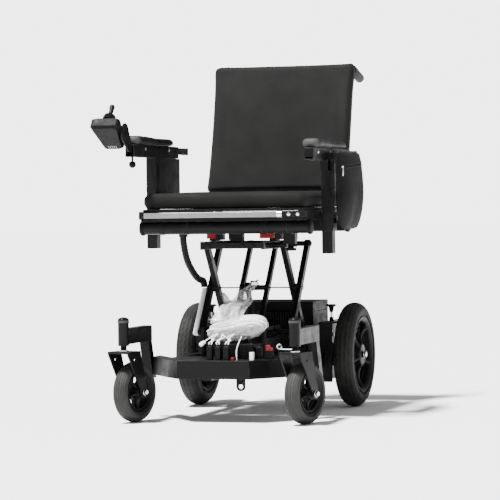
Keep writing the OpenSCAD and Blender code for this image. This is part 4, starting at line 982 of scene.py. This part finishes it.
rows, columns = 26, 22
shell = Shape()
verts = []
for face in (0, 1):
    for j in range(rows + 1):
        v = j / rows
        fy, ry = bag_outline(v)
        z = z_top - 0.004 - (z_top - 0.004 - z_low - 0.002) * (v ** 0.96)
        for i in range(columns + 1):
            u = i / columns
            y = fy + (ry - fy) * u
            edge = (1 - abs(2 * u - 1) ** 4) * (1 - v ** 9) ** 0.6
            belly = (0.010 + 0.020 * math.sin(math.pi * min(1, 0.12 + v * 0.80)) ** 1.2) * edge
            sag = 0.0016 * noise.noise(Vector((y * 18, z * 14, 3.0 + face))) * edge
            x = bag_x0 + 0.003 + (belly + sag if face else -0.001 * edge)
            verts.append((x, y, z))
count = (rows + 1) * (columns + 1)
faces = []
for face in (0, 1):
    base = face * count
    for j in range(rows):
        for i in range(columns):
            a = base + j * (columns + 1) + i
            quad = (a, a + 1, a + columns + 2, a + columns + 1)
            faces.append(quad if face else quad[::-1])
for j in range(rows):
    for i in (0, columns):
        a = j * (columns + 1) + i
        quad = (a, a + columns + 1, a + columns + 1 + count, a + count)
        faces.append(quad if i else quad[::-1])
for j in (0, rows):
    for i in range(columns):
        a = j * (columns + 1) + i
        quad = (a, a + 1, a + 1 + count, a + count)
        faces.append(quad[::-1] if j else quad)
shell.add(verts, faces)
bag = shell.build("side_bag_pouch", BAGCLOTH)
inflate(bag, 0.0055, 1.6, 0.005)
co = coords(bag.data)
co[:, 0] = np.clip(co[:, 0], bag_x0, high.x + 0.004)
co[:, 1] = np.clip(co[:, 1], y0 - 0.002, y1 + 0.002)
co[:, 2] = np.clip(co[:, 2], z_low, z_top)
put(bag.data, co)
finish_soft(bag, relax=2)
tree = tree_of(bag)
RAY_X = 0.45


def on_bag(points, proud=0.0):
    """The (y, z) points laid on the bag's outer face, proud of it; misses are left out."""
    hits = [(tree.ray_cast(Vector((RAY_X, y, z)), Vector((-1, 0, 0)))[0], y, z) for y, z in points]
    return [Vector((hit.x + proud, y, z)) for hit, y, z in hits if hit]


def beside(path, up_by, proud):
    """The bag's points at a fixed height above or below a path on it."""
    return on_bag([(p.y, p.z + up_by) for p in path], proud)


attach(bag, "armrest_right")
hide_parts("side_bag")

# its zip: tape, teeth, slider and pull tab, all on the bag's outer face
zip_z = z_top - 0.052
line = on_bag([(y0 + 0.018 + (y1 - y0 - 0.036) * i / 40, zip_z + 0.00035 * i)
               for i in range(41)])
tape = Shape()
for off in (-0.0045, 0.0045):
    tape.tube(beside(line, off, 0.0002), 0.0022, 6, flat=0.5)
tape.build("bag_zip_tape", TRIM, "armrest_right", "upholstery")
teeth = Shape()
stitches(line, 0.0026, 0.0014, 0.0013, teeth)
teeth.build("bag_zip_teeth", GREY, "armrest_right", "plastic_black")
slider = Shape()
head = line[2]
slider.block(head + mm(-0.5, -6, -3.2), head + mm(3.2, 5, 3.2))
slider.tube([head + mm(3.5, -4, -2), head + mm(3.6, -7, -12), head + mm(3.0, -8, -26)],
            [0.0014, 0.0026, 0.0022], 8, flat=0.5)
slider.build("bag_zip_slider", BRIGHT, "armrest_right", "zinc", bevel=0.0008)
piping = []
for end, inward, order in ((0, 0.006, range(61)), (1, -0.006, range(60, -1, -1))):
    for i in order:
        v = i / 60
        piping.append((bag_outline(v)[end] + inward,
                       z_top - 0.008 - (z_top - 0.008 - z_low - 0.010) * v))
path = on_bag(piping, 0.0002)
Shape().tube(path, 0.0017, 7).build("bag_piping", TRIM, "armrest_right", "upholstery")
thread = Shape()
stitches([p + Vector((0.0008, 0, 0)) for p in path], 0.0055, 0.0034, 0.0005, thread)
for off in (-0.0085, 0.0085):
    stitches(beside(line, off, 0.0006), 0.0050, 0.0032, 0.0005, thread)
thread.build("bag_thread", THREAD, "armrest_right", "upholstery")
tabs = Shape()
for y in (y0 + 0.027, y1 - 0.063):
    tabs.block((0.2835, y, z_top - 0.028), (bag_x0 + 0.006, y + 0.024, z_top - 0.0095))
tabs.build("bag_tabs", TRIM, "armrest_right", "upholstery", bevel=0.002)

# ------------------------------------------------------------------ wires and film

def smooth_path(points, steps):
    """A curve through the points, evenly split between each pair."""
    points = [Vector(p) for p in points]
    ends = [points[0] * 2 - points[1]] + points + [points[-1] * 2 - points[-2]]
    path = []
    for i in range(1, len(ends) - 2):
        p0, p1, p2, p3 = ends[i - 1:i + 3]
        for k in range(steps):
            t = k / steps
            path.append(0.5 * (2 * p1 + (p2 - p0) * t + (2 * p0 - 5 * p1 + 4 * p2 - p3) * t ** 2
                               + (3 * p1 - p0 - 3 * p2 + p3) * t ** 3))
    return path + [points[-1]]


# the hank: one long white wire wound in an oval with its right end up
hank_low, hank_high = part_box("wire_hank")
hank = (hank_low + hank_high) / 2
tilt = math.radians(8)
long_way = Vector((math.cos(tilt), 0, math.sin(tilt)))
short_way = Vector((-math.sin(tilt) * 0.84, -0.53, math.cos(tilt) * 0.84))
through = long_way.cross(short_way).normalized()
turns, per_turn = 30, 30
knots = [[random.uniform(-1, 1) for _ in range(4)] for _ in range(2 * turns + 3)]
wire_path = []
for i in range(turns * per_turn):
    at = 2 * i / per_turn
    k, share = int(at), smoothstep(at - int(at))
    a, b, c, d = (p + (q - p) * share for p, q in zip(knots[k], knots[k + 1]))
    w = 2 * math.pi * i / per_turn
    layer = (i / per_turn) / turns * 2 - 1
    thin = 1 - (0.55 + 0.45 * b) * smoothstep(0.55 - 0.75 * math.cos(w))
    spot = (hank + Vector((0, 0, 0.005))
            + long_way * ((0.0795 + 0.0085 * a) * math.cos(w) + 0.004 * c)
            + short_way * ((0.0245 + 0.0055 * a) * thin * math.sin(w)
                           + 0.013 * d * smoothstep(0.3 - math.cos(w)))
            + through * (0.020 * layer + 0.0035 * c))
    wire_path.append(spot)
Shape().tube(wire_path, 0.0021, 7).build("hank_wire", WIRE, "base", "harness")

# clear film under and round the wires
rings, around = 30, 48
verts = []
for i in range(rings + 1):
    u = -1 + 2 * i / rings
    girth = max(0.06, 1 - abs(u) ** 2.6) ** 0.5
    for k in range(around):
        w = 2 * math.pi * k / around
        side = math.sin(w)
        crease = 1 + 0.10 * noise.noise(Vector((u * 4, math.cos(w) * 2.2, side * 2.2)))
        deep = 0.031 if side > 0 else 0.037
        verts.append(hank + long_way * (0.0925 * u)
                     + Vector((0, 0.0325, 0)) * (girth * math.cos(w) * crease)
                     + Vector((0, 0, deep)) * (girth * side * crease * (0.62 if side > 0 else 1)))
wrap = Shape().add(verts, ring_faces(rings + 1, around))
wrap = wrap.build("hank_film", FILM, "base", "harness")
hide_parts("wire_hank")


def gathered(name, path, widths, depths, folds, finish, seed):
    """Film drawn into folds along a path."""
    n, around = len(path), 64
    verts = []
    side = Vector((1, 0, 0))
    for i, p in enumerate(path):
        along = (path[min(i + 1, n - 1)] - path[max(i - 1, 0)]).normalized()
        across = (side - along * side.dot(along)).normalized()
        deep = along.cross(across)
        t = i / (n - 1) * (len(widths) - 1)
        k, share = min(int(t), len(widths) - 2), t - min(int(t), len(widths) - 2)
        width = widths[k] + (widths[k + 1] - widths[k]) * share
        depth = depths[k] + (depths[k + 1] - depths[k]) * share
        for j in range(around):
            w = 2 * math.pi * j / around
            pleat = 1 + 0.16 * math.sin(folds * w + seed) + 0.12 * noise.noise(
                Vector((math.cos(w) * 1.6, math.sin(w) * 1.6, i * 0.22 + seed)))
            verts.append(p + across * (width * pleat * math.cos(w))
                         + deep * (depth * pleat * math.sin(w)))
    return Shape().add(verts, ring_faces(n, around)).build(name, finish)


crossing = pivot("scissor_pivot")
tie = Vector((0.004, crossing.y - 0.014, crossing.z + 0.009))
start = Vector((hank.x - 0.036, hank.y + 0.002, hank.z + 0.012))
neck_path = smooth_path([start, start + mm(6, 22, 34), start + mm(20, 90, 62),
                         tie + mm(-3, -90, -22), tie + mm(-1, -30, -6), tie], 7)
neck = gathered("film_neck", neck_path, [0.047, 0.036, 0.027, 0.017, 0.011, 0.0075],
                [0.022, 0.019, 0.015, 0.011, 0.008, 0.0065], 7, FILM, 0.7)
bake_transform(neck)
tail_start = start + mm(16, 16, 24)
tail_path = smooth_path([tail_start, tail_start + mm(-12, 14, 16), tail_start + mm(-26, 22, 42),
                         tail_start + mm(-40, 30, 66)], 7)
tail = gathered("film_tail", tail_path, [0.022, 0.015, 0.011, 0.009, 0.004],
                [0.010, 0.007, 0.005, 0.003, 0.0015], 5, TAIL, 2.1)
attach(tail, "base")
knot = Shape()
ring = [tie + Vector((0.0118 * math.cos(a), -0.004 + 0.002 * math.sin(3 * a), 0.0106 * math.sin(a)))
        for a in [2 * math.pi * i / 20 for i in range(20)]]
knot.tube(ring, 0.0019, 7, closed=True)
knot.tube([tie + mm(3, -4, 8), tie + mm(9, -6, 13), tie + mm(15, -7, 14)],
          [0.0022, 0.0026, 0.0014], 7)
knot.tube([tie + mm(-2, -4, 8), tie + mm(-8, -6, 11), tie + mm(-13, -7, 9)],
          [0.0022, 0.0024, 0.0014], 7)
knot.build("film_tie", SOFT, "arms_a", "plastic_black")

# tails of the three plugs curl up into the hank
box_low, box_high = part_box("junction_box")
plug_y, plug_z = box_low.y + 0.009, box_high.z
curls = Shape()
for x, lean in ((-14, 1), (11, -1), (36, 1)):
    foot = Vector((x / 1000, plug_y, plug_z - 0.003))
    for k in (-1, 1):
        curls.tube(smooth_path([
            foot + mm(3 * k, 0, 0), foot + mm(4 * k + 2 * lean, 2, 8),
            foot + mm(-3 * k + 4 * lean, 16, 14), foot + mm(5 * k - 4 * lean, 34, 21),
            foot + mm(6 * lean, 58, 29)], 6), 0.0019, 7)
curls.tube(smooth_path([Vector((0.066, plug_y + 0.002, 0.1805)), Vector((0.0655, plug_y, 0.205)),
                        Vector((0.068, plug_y + 0.010, 0.226)),
                        Vector((0.064, plug_y + 0.055, 0.245))], 8), 0.0016, 7)
curls.tube(smooth_path([Vector((-0.034, plug_y + 0.004, 0.231)),
                        Vector((-0.024, plug_y + 0.012, 0.240)),
                        Vector((-0.012, plug_y + 0.060, 0.253))], 6), 0.0017, 7)
curls.build("plug_wires", WIRE, "base", "harness")
plug = Shape()
plug.revolve([(0.0030, 0), (0.0062, 0.0015), (0.0062, 0.013), (0.0050, 0.0145), (0.0050, 0.019)],
             Vector((-0.046, plug_y + 0.003, 0.2225)), (0.83, 0.08, 0.55), 8)
plug.block((0.1050, plug_y - 0.003, 0.1802), (0.1165, plug_y + 0.009, 0.2035))
plug.build("pale_plugs", WIRE, "base", "harness", bevel=0.0008)
# a red plug and a ring lug stand on the bent beam
BEAM_TOP = 0.1802
plug_at = Vector((0.144, -0.352, BEAM_TOP))
lug_at = Vector((0.171, -0.333, BEAM_TOP))
red = Shape()
red.block(plug_at + mm(-6, -6, 25.3), plug_at + mm(5, 6, 40.8))
red.block(plug_at + mm(5, -4, 25.3), plug_at + mm(14, 4, 33.3))
stands = Shape()
stands.block(plug_at + mm(-7, -7, 0), plug_at + mm(15, 7, 25.4))
stands.revolve([(0.0060, 0), (0.0060, 0.0040), (0.0036, 0.0060), (0.0036, 0.0262)],
               lug_at, (0, 0, 1), 16)
stands.build("plug_stands", BLACK, "base", "plastic_black", bevel=0.0008)
red.block((0.047, plug_y - 0.002, 0.1805), (0.058, plug_y + 0.006, 0.1885))
red.build("red_plugs", RED, "base", "red", bevel=0.001)
tag = Shape()
ring_at = lug_at + mm(0, 0, 34.8)
tag.tube(loop(ring_at, Vector((1, 0, 0)), Vector((0, 0, 1)), 0.0068, 24), 0.0024, 8, closed=True)
tag.build("ring_lug", BRIGHT, "base", "zinc")

# loom sleeve: a ribbed tube that bends between the seat and the lift's arms
loom_low, loom_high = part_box("seat_loom")
loom_x = (loom_low.x + loom_high.x) / 2
first = Vector((loom_x, loom_low.y + 0.0105, loom_high.z))
last = Vector((loom_x, crossing.y - 0.004, crossing.z + 0.0035))
loom_path = smooth_path([
    Vector((loom_x, first.y + a * (last.y - first.y), first.z + b * (last.z - first.z)))
    for a, b in ((0, 0), (0, 0.05), (0.04, 0.18), (0.11, 0.34), (0.21, 0.49), (0.36, 0.62),
                 (0.51, 0.73), (0.66, 0.81), (0.82, 0.86), (0.94, 0.88), (0.99, 0.94), (1, 1))], 9)
ribs = [0.0100 + 0.0006 * math.cos(1.7 * i) for i in range(len(loom_path))]
loom = Shape().tube(loom_path, ribs, 18)
loom = loom.build("loom_sleeve", LOOM)
loom.data.set_sharp_from_angle(angle=math.pi)
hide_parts("seat_loom")
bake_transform(loom)

# control pod: screws and vents under its tilted face
tilt_back = math.radians(35)
POD_AT = Vector((-0.311, -0.408, 0.8379))
pod_frame = Matrix.Translation(POD_AT) @ Matrix.Rotation(-tilt_back, 4, "X")
dots = Shape()
for x, y in ((-0.022, 0.018), (0.016, 0.022), (-0.004, -0.012)):
    dots.tube(loop(Vector((x, y, -0.0200)), Vector((1, 0, 0)), Vector((0, 1, 0)), 0.0038, 20),
              0.0006, 6, closed=True)
dots.moved(pod_frame)
dots.build("pod_screws", BLACK, "pod", "plastic_black")
slits = Shape()
for k in range(5):
    x = -0.012 + 0.006 * k
    slits.tube([(x, 0.033, -0.0199), (x, 0.050, -0.0199)], 0.0010, 8, flat=0.5)
slits.moved(pod_frame)
slits.build("pod_vents", ZINC, "pod", "zinc")
hinge_screw = Shape().revolve(
    [(0.0052, 0), (0.0052, 0.0012), (0.0040, 0.0028), (0.0006, 0.0032)],
    Vector((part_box("pod_mount")[1].x - 0.0085, POD_AT.y, POD_AT.z)), (1, 0, 0), 20)
hinge_screw.build("pod_hinge_screw", ZINC, "pod_mount", "zinc")

# joystick: a ribbed boot with a round-topped stick
stick = Shape().revolve([
    (0.0030, 0.0130), (0.0195, 0.0155), (0.0202, 0.0168), (0.0168, 0.0196), (0.0172, 0.0212),
    (0.0200, 0.0238), (0.0192, 0.0252), (0.0146, 0.0276), (0.0150, 0.0290), (0.0172, 0.0312),
    (0.0160, 0.0328), (0.0112, 0.0356), (0.0078, 0.0384), (0.0064, 0.0430), (0.0068, 0.0520),
    (0.0080, 0.0620), (0.0080, 0.0665), (0.0066, 0.0702), (0.0040, 0.0720), (0.0004, 0.0726),
], (0, 0, 0), (0, 0, 1), 36)
stick.moved(pod_frame @ Matrix.Translation((0, -0.026, 0.011)))
stick = stick.build("joystick_boot", SOFT, "joystick", "plastic_black")
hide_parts("joystick")

# ------------------------------------------------------------------ stage

plane = bpy.data.meshes.new("floor")
plane.from_pydata([(-90, -90, 0), (90, -90, 0), (90, 90, 0), (-90, 90, 0)], [], [(0, 1, 2, 3)])
floor = bpy.data.objects.new("floor", plane)
scene.collection.objects.link(floor)
white = Finish("floor_paper", (0.93, 0.93, 0.93), 0.9, Specular_IOR_Level=0.1)
white.sheen(white.cloud(2.0), 0.86, 0.94)
plane.materials.append(white.material)

AMBIENT, BACKDROP = 0.45, 4.3
world = bpy.data.worlds.new("studio")
scene.world = world
world.use_nodes = True
tree = world.node_tree
sky = tree.nodes["Background"]
sky.inputs["Color"].default_value = (1, 1, 1, 1)
sky.inputs["Strength"].default_value = AMBIENT
paper = tree.nodes.new("ShaderNodeBackground")
paper.inputs["Color"].default_value = (1, 1, 1, 1)
paper.inputs["Strength"].default_value = BACKDROP
seen = tree.nodes.new("ShaderNodeLightPath")
mix = tree.nodes.new("ShaderNodeMixShader")
tree.links.new(seen.outputs["Is Camera Ray"], mix.inputs[0])
tree.links.new(sky.outputs[0], mix.inputs[1])
tree.links.new(paper.outputs[0], mix.inputs[2])
tree.links.new(mix.outputs[0], tree.nodes["World Output"].inputs["Surface"])


def lamp(name, spot, aim, size, power):
    light = bpy.data.lights.new(name, "AREA")
    light.shape = "DISK"
    light.size = size
    light.energy = power
    piece = bpy.data.objects.new(name, light)
    scene.collection.objects.link(piece)
    piece.location = spot
    piece.rotation_euler = (Vector(aim) - Vector(spot)).to_track_quat("-Z", "Y").to_euler()


sun = bpy.data.lights.new("key", "SUN")
sun.energy = 14.4
sun.angle = math.radians(7)
key = bpy.data.objects.new("key", sun)
scene.collection.objects.link(key)
key.rotation_euler = Vector((1.5, 1.6, -5.5)).to_track_quat("-Z", "Y").to_euler()
lamp("front", (-2.2, -4.5, 1.8), (0, 0, 0.5), 1.8, 16)
lamp("side", (4.0, -1.0, 1.6), (0, 0, 0.5), 1.6, 12)
